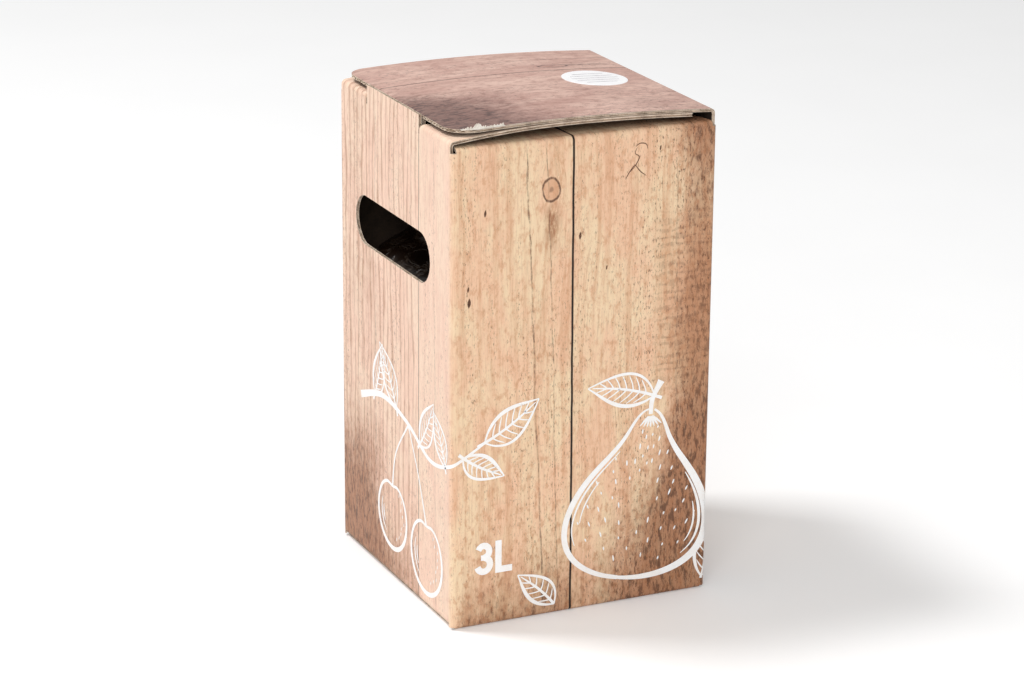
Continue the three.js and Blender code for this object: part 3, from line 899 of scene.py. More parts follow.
class Profile:
    """The path of the printed face in a plane across a fold, measured along the sheet.

    A point of the path is its distance in from the wall's face and its height. The printed face
    is on the left of the direction of travel.
    """

    def __init__(self, path: Sequence[Point], anchor: int = 0, anchor_value: float = 0.0) -> None:
        """Measures the path.

        Args:
            path: Its points.
            anchor: The number of the point whose run is known.
            anchor_value: That point's run, in millimetres.
        """
        self.path = list(path)
        runs = [0.0]
        for a, b in zip(path, path[1:]):
            runs.append(runs[-1] + math.dist(a, b))
        shift = anchor_value - runs[anchor]
        self.runs = [run + shift for run in runs]
        ways = [
            ((b[0] - a[0]) / math.dist(a, b), (b[1] - a[1]) / math.dist(a, b)) for a, b in zip(path, path[1:])
        ]
        self.normals: list[Point] = []
        for i in range(len(path)):
            before = ways[max(i - 1, 0)]
            after = ways[min(i, len(ways) - 1)]
            way = (before[0] + after[0], before[1] + after[1])
            size = math.hypot(*way)
            self.normals.append((-way[1] / size, way[0] / size))

    @property
    def start(self) -> float:
        """The run of the first point."""
        return self.runs[0]

    @property
    def end(self) -> float:
        """The run of the last point."""
        return self.runs[-1]

    def at(self, run: float, lift: float) -> Point:
        """Finds a point beside the path.

        Args:
            run: The run along the sheet.
            lift: How far the point is lifted off the printed face.

        Returns:
            Its distance in from the wall's face and its height.
        """
        i = int(clamp(bisect_right(self.runs, run) - 1, 0, len(self.runs) - 2))
        t = (run - self.runs[i]) / (self.runs[i + 1] - self.runs[i])
        place = [a + (b - a) * t for a, b in zip(self.path[i], self.path[i + 1])]
        normal = [a + (b - a) * clamp(t, 0.0, 1.0) for a, b in zip(self.normals[i], self.normals[i + 1])]
        size = math.hypot(*normal)
        return place[0] + normal[0] / size * lift, place[1] + normal[1] / size * lift

    def run_at(self, inward: float, after: float) -> float:
        """Finds where the path reaches a distance in from the wall.

        Args:
            inward: The distance.
            after: The run past which it is looked for.

        Returns:
            The run there, or the last run.
        """
        for (a, ra), (b, rb) in zip(zip(self.path, self.runs), zip(self.path[1:], self.runs[1:])):
            if rb > after and a[0] <= inward <= b[0] and b[0] > a[0]:
                return ra + (rb - ra) * (inward - a[0]) / (b[0] - a[0])
        return self.end


@dataclass
class Region:
    """A stretch of a sheet between two places across it, with the runs where it starts and ends."""

    first: float
    last: float
    low: Callable[[float], float]
    high: Callable[[float], float]


@dataclass
class Sheet:
    """A piece of board on the blank, and how it folds up.

    Attributes:
        place: Gives the folded place of a point across, along and lifted off the printed face.
        shift: The distance on the blank from the front wall's middle to this sheet's middle.
        rows: The runs at which the sheet bends or is cut.
        regions: What is left of it after its outline and holes are cut.
        breaks: The places across it where its outline turns.
    """

    place: Folding
    shift: float
    rows: list[float]
    regions: list[Region]
    breaks: list[float]

    def columns(self, board: Board, waved: bool) -> list[float]:
        """Works out where a layer has corners across the sheet.

        Args:
            board: The board, for its flutes.
            waved: Whether the layer is the wavy one.

        Returns:
            The places, in order.
        """
        first = min(region.first for region in self.regions)
        last = max(region.last for region in self.regions)
        step = board.pitch / board.samples if waved else board.pitch * 4
        low = math.ceil((first + self.shift) / step)
        high = math.floor((last + self.shift) / step)
        even = [i * step - self.shift for i in range(low, high + 1)]
        fixed = sorted({round(value, 6) for value in (*self.breaks, first, last)})
        loose = [v for v in even if all(abs(v - f) > 0.02 for f in fixed)]
        return sorted([*fixed, *loose])

    def add_layer(
        self,
        parts: MeshParts,
        columns: list[float],
        top: Callable[[float], float],
        bottom: Callable[[float], float],
        finishes: tuple[int, int, int],
    ) -> None:
        """Adds one closed layer of the board to a mesh.

        Args:
            parts: The mesh that it goes into.
            columns: The places across at which it has corners.
            top: The lift of its upper face, by the place across on the blank.
            bottom: The lift of its lower face.
            finishes: The finishes of the upper face, the lower face and the cut edges.
        """
        known: dict[tuple[int, int], int] = {}
        flat: list[Point] = []
        rings: list[list[int]] = []

        def corner(across: float, run: float) -> int:
            """Finds the corner at a place, and makes it if it is new.

            Args:
                across: The distance along the wall's outline.
                run: The distance along the folded sheet.

            Returns:
                The corner's number.
            """
            key = (round(across * 1000), round(run * 1000))
            if key not in known:
                known[key] = len(flat)
                flat.append((across, run))
            return known[key]

        rows = sorted(set(self.rows))
        for region in self.regions:
            inside = [c for c in columns if region.first - 1e-6 <= c <= region.last + 1e-6]
            for a, b in zip(inside, inside[1:]):
                runs_a = [clamp(row, region.low(a), max(region.low(a), region.high(a))) for row in rows]
                runs_b = [clamp(row, region.low(b), max(region.low(b), region.high(b))) for row in rows]
                for low_a, low_b, high_a, high_b in zip(runs_a, runs_b, runs_a[1:], runs_b[1:]):
                    around = ((a, low_a), (b, low_b), (b, high_b), (a, high_a))
                    ring = list(dict.fromkeys(corner(*place) for place in around))
                    if len(ring) > 2:
                        rings.append(ring)
        upper = []
        lower = []
        for across, run in flat:
            on_blank = (across + self.shift, run)
            lift_top = top(across + self.shift)
            lift_bottom = bottom(across + self.shift)
            upper.append(parts.add_corner(self.place(across, run, lift_top), on_blank))
            lower.append(parts.add_corner(self.place(across, run, lift_bottom), on_blank))
        edges: set[tuple[int, int]] = set()
        for ring in rings:
            parts.add_face([upper[c] for c in ring], finishes[0])
            parts.add_face([lower[c] for c in reversed(ring)], finishes[1])
            edges.update(zip(ring, ring[1:] + ring[:1]))
        for p, q in edges:
            if (q, p) not in edges:
                parts.add_face([upper[p], lower[p], lower[q], upper[q]], finishes[2])

    def add_board(self, parts: MeshParts, board: Board) -> None:
        """Adds the printed liner, the wavy sheet and the inner liner to a mesh.

        Args:
            parts: The mesh that it goes into.
            board: The board's sizes.
        """
        plain = self.columns(board, waved=False)
        waved = self.columns(board, waved=True)
        half = board.medium / 2
        self.add_layer(parts, plain, lambda s: 0.0, lambda s: -board.liner, (0, 1, 1))
        upper, lower = (lambda s: board.wave(s) + half), (lambda s: board.wave(s) - half)
        self.add_layer(parts, waved, upper, lower, (1, 1, 1))
        inner = -board.thickness
        self.add_layer(parts, plain, lambda s: inner + board.liner, lambda s: inner, (1, 2, 1))


@dataclass
class CartonBoard:
    """The folded blank: walls, dust flaps, inner flap with its tab, bottom flaps and the glued seam."""

    sizes: CartonSizes
    board: Board

    def __post_init__(self) -> None:
        """Works out the fold profiles."""
        self.profiles = {
            Side.FRONT: self.end_wall_profile(),
            Side.BACK: self.end_wall_profile(),
            Side.LEFT: self.left_profile(),
            Side.RIGHT: self.right_profile(),
        }
        self.lid_profile = self.make_lid_profile()

    def bottom_path(self, fold_bottom: float) -> list[Point]:
        """Draws a bottom flap's path, from its free end to the wall above its fold.

        Args:
            fold_bottom: The height of the flap's printed face.

        Returns:
            The points of the path.
        """
        radius = self.sizes.fold_radius
        end = self.sizes.width / 2 - self.sizes.flap_meet_gap / 2
        bend = arc((radius, fold_bottom + radius), radius, 1.5 * math.pi, math.pi)
        return [(end, fold_bottom), *bend]

    def end_wall_profile(self) -> Profile:
        """Returns the profile of the front and back walls with their flaps."""
        s = self.sizes
        path = self.bottom_path(0.0)
        anchor = len(path) - 1
        path += arc((s.fold_radius, s.ring_top), s.fold_radius, math.pi, math.pi / 2 - s.dust_dip)
        last = path[-1]
        reach = s.dust_length
        path.append((last[0] + reach * math.cos(s.dust_dip), last[1] - reach * math.sin(s.dust_dip)))
        return Profile(path, anchor, s.fold_radius)

    def left_profile(self) -> Profile:
        """Returns the profile of the left wall, its bottom flap and the inner top flap."""
        s = self.sizes
        path = self.bottom_path(s.board + s.layer_gap)
        anchor = len(path) - 1
        path.append((0.0, s.ring_top))
        path += arc((s.fold_radius, s.left_top - s.fold_radius), s.fold_radius, math.pi, math.pi / 2)
        drop = s.left_top - s.inner_flap_top(-s.lid_start)
        stations = 14
        for i in range(1, stations + 1):
            inward = s.fold_radius + (s.inner_flap_length - s.fold_radius) * i / stations
            settle = drop * max(0.0, 1 - 2 * i / stations)
            path.append((inward, s.inner_flap_top(inward - s.width / 2) + settle))
        return Profile(path, anchor, s.ring_bottom)

    def right_profile(self) -> Profile:
        """Returns the profile of the right wall and its bottom flap, up to the lid's sheet."""
        s = self.sizes
        path = self.bottom_path(s.board + s.layer_gap)
        anchor = len(path) - 1
        path.append((0.0, s.ring_top))
        return Profile(path, anchor, s.ring_bottom)

    def make_lid_profile(self) -> Profile:
        """Returns the profile from the right wall's top, round the lid's fold, to its free edge."""
        s = self.sizes
        path = [(0.0, s.ring_top)]
        path += arc((s.fold_radius, s.lid_fold - s.fold_radius), s.fold_radius, math.pi, math.pi / 2, 9)
        for x in steps(s.lid_start, s.lid_edge, 22)[1:]:
            path.append((s.width / 2 - x, s.lid_top(x)))
        return Profile(path, 0, s.ring_top)

    def wall_place(self, side: Side, profile: Profile) -> Folding:
        """Folds a sheet that bends only across one wall's folds.

        Args:
            side: The wall.
            profile: The path of its printed face.

        Returns:
            The folding, from a place across, a run and a lift to a point.
        """
        cos, sin = round(math.cos(side.turn)), round(math.sin(side.turn))
        reach = self.sizes.depth / 2

        def place(across: float, run: float, lift: float) -> Vector:
            """Returns the folded point."""
            inward, height = profile.at(run, lift)
            y = inward - reach
            return Vector((across * cos - y * sin, across * sin + y * cos, height))

        return place

    def corner_place(self, centre: Point, start: float) -> Folding:
        """Folds a sheet that runs round an upright corner and then straight on.

        Args:
            centre: The middle of the corner's bend.
            start: The angle at which the bend starts.

        Returns:
            The folding, from a place across, a run and a lift to a point.
        """
        radius = self.sizes.fold_radius
        run_round = self.sizes.corner_run

        def place(across: float, run: float, lift: float) -> Vector:
            """Returns the folded point."""
            angle = start + min(across, run_round) / radius
            past = max(0.0, across - run_round)
            out = radius + lift
            x = centre[0] + out * math.cos(angle) - past * math.sin(angle)
            y = centre[1] + out * math.sin(angle) + past * math.cos(angle)
            return Vector((x, y, run))

        return place

    def end_wall(self, side: Side) -> Sheet:
        """Makes the front or back wall with its bottom flap and tapered dust flap.

        Args:
            side: Which wall.

        Returns:
            The sheet.
        """
        s = self.sizes
        profile = self.profiles[side]
        half = s.flat_half
        free_half = half - s.dust_taper * s.dust_length

        def top(across: float) -> float:
            """Returns the run of the dust flap's outline."""
            inward = s.fold_radius + max(0.0, half - abs(across)) / s.dust_taper
            return profile.end if abs(across) <= free_half else profile.run_at(inward, s.ring_top)

        regions = [Region(-half, half, lambda u: profile.start, top)]
        if side is Side.BACK:
            raw = s.width / 2 - 0.5
            regions.append(Region(-raw, -half, lambda u: s.ring_bottom, lambda u: s.ring_top))
        rows = [*profile.runs, s.ring_bottom, s.ring_top]
        breaks = [-half, -free_half, free_half, half]
        return Sheet(self.wall_place(side, profile), side.order * s.wall_run, rows, regions, breaks)

    def left_wall(self) -> Sheet:
        """Returns the left wall with its bottom flap, the hand hole, the inner top flap and its slot."""
        s = self.sizes
        profile = self.profiles[Side.LEFT]
        half = s.flat_half
        floor = s.ring_top + s.slot_floor
        slot_run = profile.run_at(s.slot_depth, floor)
        middle = -s.tab_centre
        slot_half = s.tab_width / 2 + s.slot_side
        radius = s.hole_height / 2
        straight = s.hole_length / 2 - radius

        def hole_rise(across: float) -> float:
            """Returns half the hand hole's height."""
            past = max(0.0, abs(across + s.hole_y) - straight)
            return math.sqrt(max(0.0, radius * radius - past * past))

        def splay(across: float) -> float:
            """Returns the run where the cut beside the slot ends."""
            past = (abs(across - middle) - slot_half) / s.slot_splay
            return profile.run_at(clamp(past, 0.0, 1.0) * s.slot_depth, floor)

        regions = [
            Region(-half, half, lambda u: profile.start, lambda u: s.hole_centre - hole_rise(u)),
            Region(-half, half, lambda u: s.hole_centre + hole_rise(u), lambda u: floor),
            Region(middle - slot_half, middle + slot_half, lambda u: slot_run, lambda u: profile.end),
        ]
        for way in (-1, 1):
            near = middle + way * slot_half
            far = middle + way * (slot_half + s.slot_splay)
            edge = way * half
            first, last = min(near, far), max(near, far)
            regions.append(Region(first, last, lambda u: floor, splay))
            regions.append(Region(first, last, lambda u: slot_run, lambda u: profile.end))
            regions.append(Region(min(far, edge), max(far, edge), lambda u: floor, lambda u: profile.end))
        rows = [*profile.runs, s.hole_centre, floor, slot_run]
        round_end = [radius * math.sin(a) for a in steps(0.0, math.pi / 2, 14)]
        breaks = [way * (straight + step) - s.hole_y for way in (-1, 1) for step in round_end]
        for way in (-1, 1):
            breaks += steps(middle + way * slot_half, middle + way * (slot_half + s.slot_splay), 6)
        return Sheet(self.wall_place(Side.LEFT, profile), Side.LEFT.order * s.wall_run, rows, regions, breaks)

    def tab(self) -> Sheet:
        """Returns the tab that stands up from the left wall between the ends of the slot."""
        s = self.sizes
        floor = s.ring_top + s.slot_floor
        top = s.left_top + s.tab_height
        profile = Profile([(0.0, floor), (0.0, top)], 0, floor)
        first = -s.tab_centre - s.tab_width / 2
        last = -s.tab_centre + s.tab_width / 2
        rows = [floor, top]
        regions = [Region(first, last, lambda u: floor, lambda u: top)]
        place = self.wall_place(Side.LEFT, profile)
        return Sheet(place, Side.LEFT.order * s.wall_run, rows, regions, [first, last])

    def right_wall(self) -> Sheet:
        """Returns the right wall with its bottom flap, up to the lid's sheet."""
        s = self.sizes
        profile = self.profiles[Side.RIGHT]
        first, last = -s.flat_half, s.flat_half - s.board
        regions = [Region(first, last, lambda u: profile.start, lambda u: s.ring_top)]
        place = self.wall_place(Side.RIGHT, profile)
        return Sheet(place, Side.RIGHT.order * s.wall_run, list(profile.runs), regions, [first, last])

    def corners(self) -> list[Sheet]:
        """Returns the three folded corners and the seam's corner with its glued flap."""
        s = self.sizes
        half = s.flat_half
        rows = [s.corner_foot, s.ring_bottom, s.ring_top]
        run_round = s.corner_run
        around = steps(0.0, run_round, 7)
        sheets = []
        for centre, start, shift in (
            ((half, -half), -math.pi / 2, half),
            ((-half, -half), math.pi, half - s.wall_run),
            ((-half, half), math.pi / 2, half - 2 * s.wall_run),
        ):
            regions = [Region(0.0, run_round, lambda u: s.corner_foot, lambda u: s.ring_top)]
            sheets.append(Sheet(self.corner_place(centre, start), shift, rows, regions, around))

        reach = run_round + s.seam_width - s.fold_radius
        slope = s.seam_taper / (reach - run_round)

        def taper(across: float) -> float:
            """Returns how far the seam's flap is cut back above and below."""
            return max(0.0, across - run_round) * slope

        place = self.corner_place((half, half - s.board), 0.0)
        shift = s.wall_run + half - s.board
        flap = Region(0.0, reach, lambda u: s.ring_bottom + taper(u), lambda u: s.ring_top - taper(u))
        sheets.append(Sheet(place, shift, rows, [flap], [*around, reach]))
        return sheets

    def lid_sheet(self) -> Sheet:
        """Returns the lid with the strip of wall below its fold."""
        s = self.sizes
        profile = self.lid_profile
        half = s.depth / 2 - s.lid_side_gap
        tongue_half = s.tab_width / 2 - s.tongue_inset
        fold = profile.run_at(s.width / 2 - s.lid_edge - s.fold_radius, s.lid_fold)

        def high(across: float) -> float:
            """Returns the run of the lid's outline, with its rounded corners."""
            radius = s.lid_rear_corner if across > 0 else s.lid_corner
            past = max(0.0, abs(across) - (half - radius))
            return profile.end - radius + math.sqrt(max(0.0, radius**2 - past**2))

        left, right = s.tab_centre - tongue_half, s.tab_centre + tongue_half
        regions = [
            Region(first, last, lambda u: s.ring_top, top)
            for first, last, top in ((-half, left, high), (left, right, lambda u: fold), (right, half, high))
        ]
        rows = [*profile.runs, fold]
        turns = [1 - math.sin(a) for a in steps(0.0, math.pi / 2, 14)]
        rear = [half - s.lid_rear_corner * turn for turn in turns]
        breaks = [*rear, *(s.lid_corner * turn - half for turn in turns), left, right]
        place = self.wall_place(Side.RIGHT, profile)
        return Sheet(place, Side.RIGHT.order * s.wall_run, rows, regions, breaks)

    def tongue(self) -> Sheet:
        """Returns the lid's tongue, folded down into the slot."""
        s = self.sizes
        inward = s.width / 2 - s.lid_edge - s.fold_radius
        edge_top = s.lid_top(s.width / 2 - inward)
        path = arc((inward, edge_top - s.fold_radius), s.fold_radius, math.pi / 2, -s.tongue_lean)
        last = path[-1]
        down = (-math.sin(s.tongue_lean), -math.cos(s.tongue_lean))
        path.append((last[0] + down[0] * s.tongue_length, last[1] + down[1] * s.tongue_length))
        profile = Profile(path, 0, self.lid_profile.run_at(inward, s.lid_fold))
        half = s.tab_width / 2 - s.tongue_inset
        radius = s.tongue_corner

        def high(across: float) -> float:
            """Returns the run of the tongue's outline, with its rounded corners."""
            past = max(0.0, abs(across - s.tab_centre) - (half - radius))
            return profile.end - radius + math.sqrt(max(0.0, radius * radius - past * past))

        first, last_across = s.tab_centre - half, s.tab_centre + half
        regions = [Region(first, last_across, lambda u: profile.start, high)]
        round_end = [half - radius * (1 - math.sin(a)) for a in steps(0.0, math.pi / 2, 8)]
        breaks = [s.tab_centre + way * step for way in (-1, 1) for step in round_end]
        rows = [*profile.runs, profile.end - radius]
        place = self.wall_place(Side.RIGHT, profile)
        return Sheet(place, Side.RIGHT.order * s.wall_run, rows, regions, breaks)

    def on_walls(self, across: float, up: float, lift: float) -> Vector:
        """Finds the folded place of a point of the walls.

        Args:
            across: Its place across the blank.
            up: Its place up the blank.
            lift: How far it is lifted off the printed face.

        Returns:
            The point.
        """
        s = self.sizes
        order = round(across / s.wall_run)
        local = across - order * s.wall_run
        side = next(side for side in Side if side.order == order)
        if abs(local) <= s.flat_half:
            return self.wall_place(side, self.profiles[side])(local, up, lift)
        half = s.flat_half
        before = order if local > 0 else order - 1
        right = math.pi / 2
        bends = {0: ((half, -half), -right), -1: ((-half, -half), math.pi), -2: ((-half, half), right)}
        centre, start = bends[before]
        return self.corner_place(centre, start)(across - before * s.wall_run - half, up, lift)

    def on_lid(self, across: float, back: float, lift: float) -> Vector:
        """Returns the place of a point on the lid, given by its y and how far it is to -X."""
        run = self.lid_profile.run_at(self.sizes.width / 2 + back, self.sizes.lid_fold)
        return self.wall_place(Side.RIGHT, self.lid_profile)(across, run, lift)

    def build_carton(self, materials: Sequence[Material]) -> Piece:
        """Folds the carton without its lid.

        Args:
            materials: The finishes, in the order of the faces' numbers.

        Returns:
            The carton's board.
        """
        parts = MeshParts()
        sheets = [self.end_wall(Side.FRONT), self.end_wall(Side.BACK), self.left_wall(), self.tab()]
        for sheet in [*sheets, self.right_wall(), *self.corners()]:
            sheet.add_board(parts, self.board)
        return parts.build("carton_board", materials)

    def build_lid(self, materials: Sequence[Material]) -> Piece:
        """Folds the lid and its tongue.

        Args:
            materials: The finishes, in the order of the faces' numbers.

        Returns:
            The lid's board.
        """
        parts = MeshParts()
        for sheet in (self.lid_sheet(), self.tongue()):
            sheet.add_board(parts, self.board)
        return parts.build("lid_board", materials)


# Print


@dataclass
class Stroke:
    """A brush stroke on the blank: points that a smooth line passes through, and its widths."""

    points: list[Point]
    widths: tuple[float, float, float] = (0.4, 1.2, 0.4)
    closed: bool = False

    def line(self, step: float = 0.9) -> list[Point]:
        """Draws the smooth line.

        Args:
            step: About how far apart its points are.

        Returns:
            The points.
        """
        pts = self.points
        if len(pts) == 2:
            count = max(1, round(math.dist(*pts) / step))
            return list(zip(steps(pts[0][0], pts[1][0], count), steps(pts[0][1], pts[1][1], count)))
        padded = [pts[-1], *pts, pts[0], pts[1]] if self.closed else [pts[0], *pts, pts[-1]]
        made: list[Point] = []
        for p0, p1, p2, p3 in zip(padded, padded[1:], padded[2:], padded[3:]):
            count = max(1, round(math.dist(p1, p2) / step))
            for t in (i / count for i in range(count)):
                point = []
                for a, b, c, d in zip(p0, p1, p2, p3):
                    square, cube = 2 * a - 5 * b + 4 * c - d, 3 * b - a - 3 * c + d
                    point.append(0.5 * (2 * b + (c - a) * t + square * t * t + cube * t**3))
                made.append(tuple(point))
        made.append(padded[-2])
        return made

    def width_at(self, share: float) -> float:
        """Eases between the stroke's three widths.

        Args:
            share: The share of the stroke's length.

        Returns:
            The width there.
        """
        start, middle, end = self.widths
        if share < 0.5:
            return start + (middle - start) * math.sin(share * math.pi)
        return end + (middle - end) * math.sin(share * math.pi)


@dataclass
class Print:
    """White ink and other thin layers that lie on the printed face.

    Attributes:
        place: Gives the folded place of a point across, along and lifted off the printed face.
        floor: The lowest height that ink may reach.
        parts: The mesh that it goes into.
        strokes: How many strokes are drawn.
        lift: The height of the ink over the board.
        level: How far a stroke lies over the one before, so that strokes that cross don't coincide.
        levels: How many strokes go by before the heights start again.
    """

    place: Folding
    floor: float = -math.inf
    parts: MeshParts = field(default_factory=MeshParts)
    strokes: int = 0
    lift: float = 0.06
    level: float = 0.006
    levels: int = 12

    def draw(self, stroke: Stroke, finish: int = 0, lift: float | None = None) -> None:
        """Adds a stroke as a narrow ribbon.

        Args:
            stroke: The stroke.
            finish: The number of its material.
            lift: Its height over the board, where it isn't the ink's usual one.
        """
        height = (self.lift if lift is None else lift) + self.level * (self.strokes % self.levels)
        self.strokes += 1
        line = stroke.line()
        rows: list[list[int] | None] = []
        for i, (across, up) in enumerate(line):
            before, after = line[max(i - 1, 0)], line[min(i + 1, len(line) - 1)]
            if stroke.closed and i in (0, len(line) - 1):
                before, after = line[-2], line[1]
            way = (after[0] - before[0], after[1] - before[1])
            size = math.hypot(*way) or 1.0
            side = (-way[1] / size, way[0] / size)
            width = stroke.width_at(i / max(1, len(line) - 1))
            row = []
            for share in (-0.5, -0.17, 0.17, 0.5):
                point = (across + side[0] * width * share, up + side[1] * width * share)
                if point[1] < self.floor:
                    break
                row.append(self.parts.add_corner(self.place(point[0], point[1], height), point))
            rows.append(row if len(row) == 4 else None)
        for first, second in zip(rows, rows[1:]):
            if first and second:
                for j in range(3):
                    self.parts.add_face([first[j], second[j], second[j + 1], first[j + 1]], finish)


@dataclass
class FruitDrawing:
    """A line drawing in white ink: a leafy twig with two cherries, and a large pear."""

    ink: Print
    boldness: float = 1.3

    def pen(self, points: list[Point], widths: tuple[float, float, float], closed: bool = False) -> None:
        """Draws a stroke with this drawing's bold pen."""
        self.ink.draw(Stroke(points, tuple(width * self.boldness for width in widths), closed))

    def leaf(self, root: Point, length: float, turn: float, width: float, veins: int = 6) -> None:
        """Draws a leaf.

        Args:
            root: Where it leaves its twig.
            length: Its length.
            turn: Its direction in degrees, from the blank's horizontal.
            width: Half its width.
            veins: How many veins it has on each side.
        """
        angle = math.radians(turn)
        cos, sin = math.cos(angle), math.sin(angle)

        def at(along: float, off: float) -> Point:
            """Returns a point of the leaf, along and off its midrib."""
            bend = 0.16 * length * (along / length) ** 2
            return root[0] + along * cos - (off + bend) * sin, root[1] + along * sin + (off + bend) * cos

        shares = steps(0.0, 1.0, 10)
        for way in (-1, 1):
            edge = [at(length * q, way * width * math.sin(math.pi * q**0.85) * (1 - 0.2 * q)) for q in shares]
            self.pen(edge, (0.5, 1.5 if way > 0 else 1.1, 0.4))
        self.pen([at(length * q, 0.0) for q in (-0.12, 0.2, 0.55, 0.93)], (1.3, 1.0, 0.3))
        for way in (-1, 1):
            for i in range(veins):
                q = 0.14 + 0.7 * i / veins
                reach = width * math.sin(math.pi * (q + 0.12) ** 0.85) * 0.78
                start = at(length * q, way * 0.3)
                middle = at(length * (q + 0.05), way * reach * 0.5)
                tip = at(length * (q + 0.13), way * reach)
                self.pen([start, middle, tip], (0.6, 0.5, 0.2))

    def cherry(self, centre: Point, radius: float, fork: Point) -> None:
        """Draws a cherry with its stalk.

        Args:
            centre: Its middle.
            radius: Half its width.
            fork: Where its stalk leaves the twig.
        """
        ring = []
        for angle in steps(0.5 * math.pi, 2.5 * math.pi, 16)[:-1]:
            from_top = (angle + 0.5 * math.pi) % (2 * math.pi) - math.pi
            dent = 0.14 * math.exp(-(from_top**2) / 0.12)
            reach = radius * (1 - dent)
            ring.append((centre[0] + reach * math.cos(angle), centre[1] + reach * math.sin(angle)))
        self.pen(ring, (1.1, 1.9, 1.1), closed=True)
        top = (centre[0], centre[1] + radius * 0.84)
        mid = ((top[0] * 2 + fork[0]) / 3 - 2.0, (top[1] + fork[1]) / 2)
        self.pen([top, mid, fork], (1.5, 0.9, 1.1))
        for inset, low, high in ((0.76, 2.7, 4.1), (0.62, 2.95, 3.75)):
            shine = [
                (centre[0] + radius * inset * math.cos(a), centre[1] + radius * inset * math.sin(a))
                for a in steps(low, high, 5)
            ]
            self.pen(shine, (0.3, 0.9, 0.3))
        for i in range(9):
            angle = -1.2 + 0.27 * i
            reach = radius * (0.62 + 0.2 * scatter(i, radius))
            spot = (centre[0] + reach * math.cos(angle), centre[1] + reach * math.sin(angle))
            self.pen([spot, (spot[0] + 0.5, spot[1] + 2.2)], (0.2, 0.55, 0.2))

    def pear(self, foot: Point, height: float, width: float, lean: float) -> None:
        """Draws a pear with a stalk, a leaf, shading lines and skin dashes.

        Args:
            foot: The middle of its underside.
            height: Its height.
            width: Its greatest width.
            lean: How far it leans to the right, in degrees.
        """
        angle = math.radians(lean)
        cos, sin = math.cos(angle), math.sin(angle)

        def at(turn: float, inset: float) -> Point:
            """Places a point of the pear.

            Args:
                turn: The angle from the pear's top.
                inset: The share of the way out.

            Returns:
                The point on the print.
            """
            waist = 1 - 0.22 * math.exp(-(((min(turn, 2 * math.pi - turn) - 0.85) / 0.4) ** 2))
            belly = math.sin(turn) * (0.62 - 0.36 * math.cos(turn)) * waist * width * 0.72
            x = belly * inset
            z = height * (0.5 + 0.5 * math.cos(turn) * (inset * 0.9 + 0.1))
            return foot[0] + x * cos + z * sin, foot[1] - x * sin + z * cos

        for start, end, weights in (
            (0.12, math.pi + 0.25, (0.9, 3.2, 1.0)),
            (2 * math.pi - 0.1, math.pi + 0.12, (0.7, 2.4, 1.6)),
        ):
            self.pen([at(a, 1.0) for a in steps(start, end, 18)], weights)
        for inset, start, end, weight in (
            (0.9, 1.3, 2.5, 1.2),
            (0.82, 1.7, 2.35, 0.8),
            (0.9, 4.0, 5.3, 0.8),
            (0.8, 4.3, 4.9, 0.6),
        ):
            self.pen([at(a, inset) for a in steps(start, end, 8)], (0.3, weight, 0.3))
        top = at(0.0, 1.0)
        dip = at(0.0, 0.93)
        self.pen([dip, (top[0] + 0.5, top[1] + 5), (top[0] + 5.0, top[1] + 13.5)], (1.6, 1.9, 3.0))
        for i in range(7):
            spread = -0.5 + 0.17 * i
            root = (dip[0] + 2.4 * spread, dip[1] - 1.0)
            self.pen([root, (root[0] + 9 * spread, root[1] - 5.5 + 4 * spread**2)], (0.5, 0.8, 0.2))
        self.leaf((top[0] + 1.5, top[1] + 6.5), 36.0, 158.0, 9.0, 7)
        golden = math.pi * (3 - math.sqrt(5))
        for i in range(5, 66):
            turn = (i * golden) % (2 * math.pi)
            inset = 0.84 * math.sqrt(i / 66)
            first = at(turn, inset)
            if abs(first[0] - foot[0]) < 4.0 and first[1] > foot[1] + height * 0.75:
                continue
            size = 1.4 + 1.7 * scatter(i, 3.0)
            slant = (first[0] - foot[0]) / width
            self.pen([first, (first[0] + slant * size * 1.4, first[1] + size)], (0.25, 0.7, 0.25))

    def draw(self) -> None:
        """Draws everything."""
        twig = [(-178.0, 84.0), (-150.0, 92.0), (-120.0, 88.0), (-92.0, 78.0), (-70.0, 82.0), (-50.0, 93.0)]
        self.pen(twig, (3.0, 1.9, 0.8))
        for root, length, turn, width in (
            ((-160.0, 89.5), 30.0, 62.0, 7.5),
            ((-133.0, 91.0), 34.0, 118.0, 8.5),
            ((-104.0, 82.0), 30.0, 48.0, 8.0),
            ((-74.0, 80.5), 27.0, 112.0, 7.0),
            ((-51.0, 92.5), 33.0, 24.0, 8.5),
            ((-62.0, 86.5), 24.0, -38.0, 6.5),
        ):
            self.leaf(root, length, turn, width)
        fork = (-118.0, 87.0)
        self.cherry((-138.0, 34.0), 17.5, fork)
        self.cherry((-96.0, 27.0), 18.5, fork)
        self.pear((26.0, 12.0), 86.0, 76.0, 7.0)
        for root, length, turn, width in (((-14.0, 5.0), 26.0, 128.0, 7.0), ((66.0, 6.0), 30.0, 74.0, 7.5)):
            self.leaf(root, length, turn, width, 5)


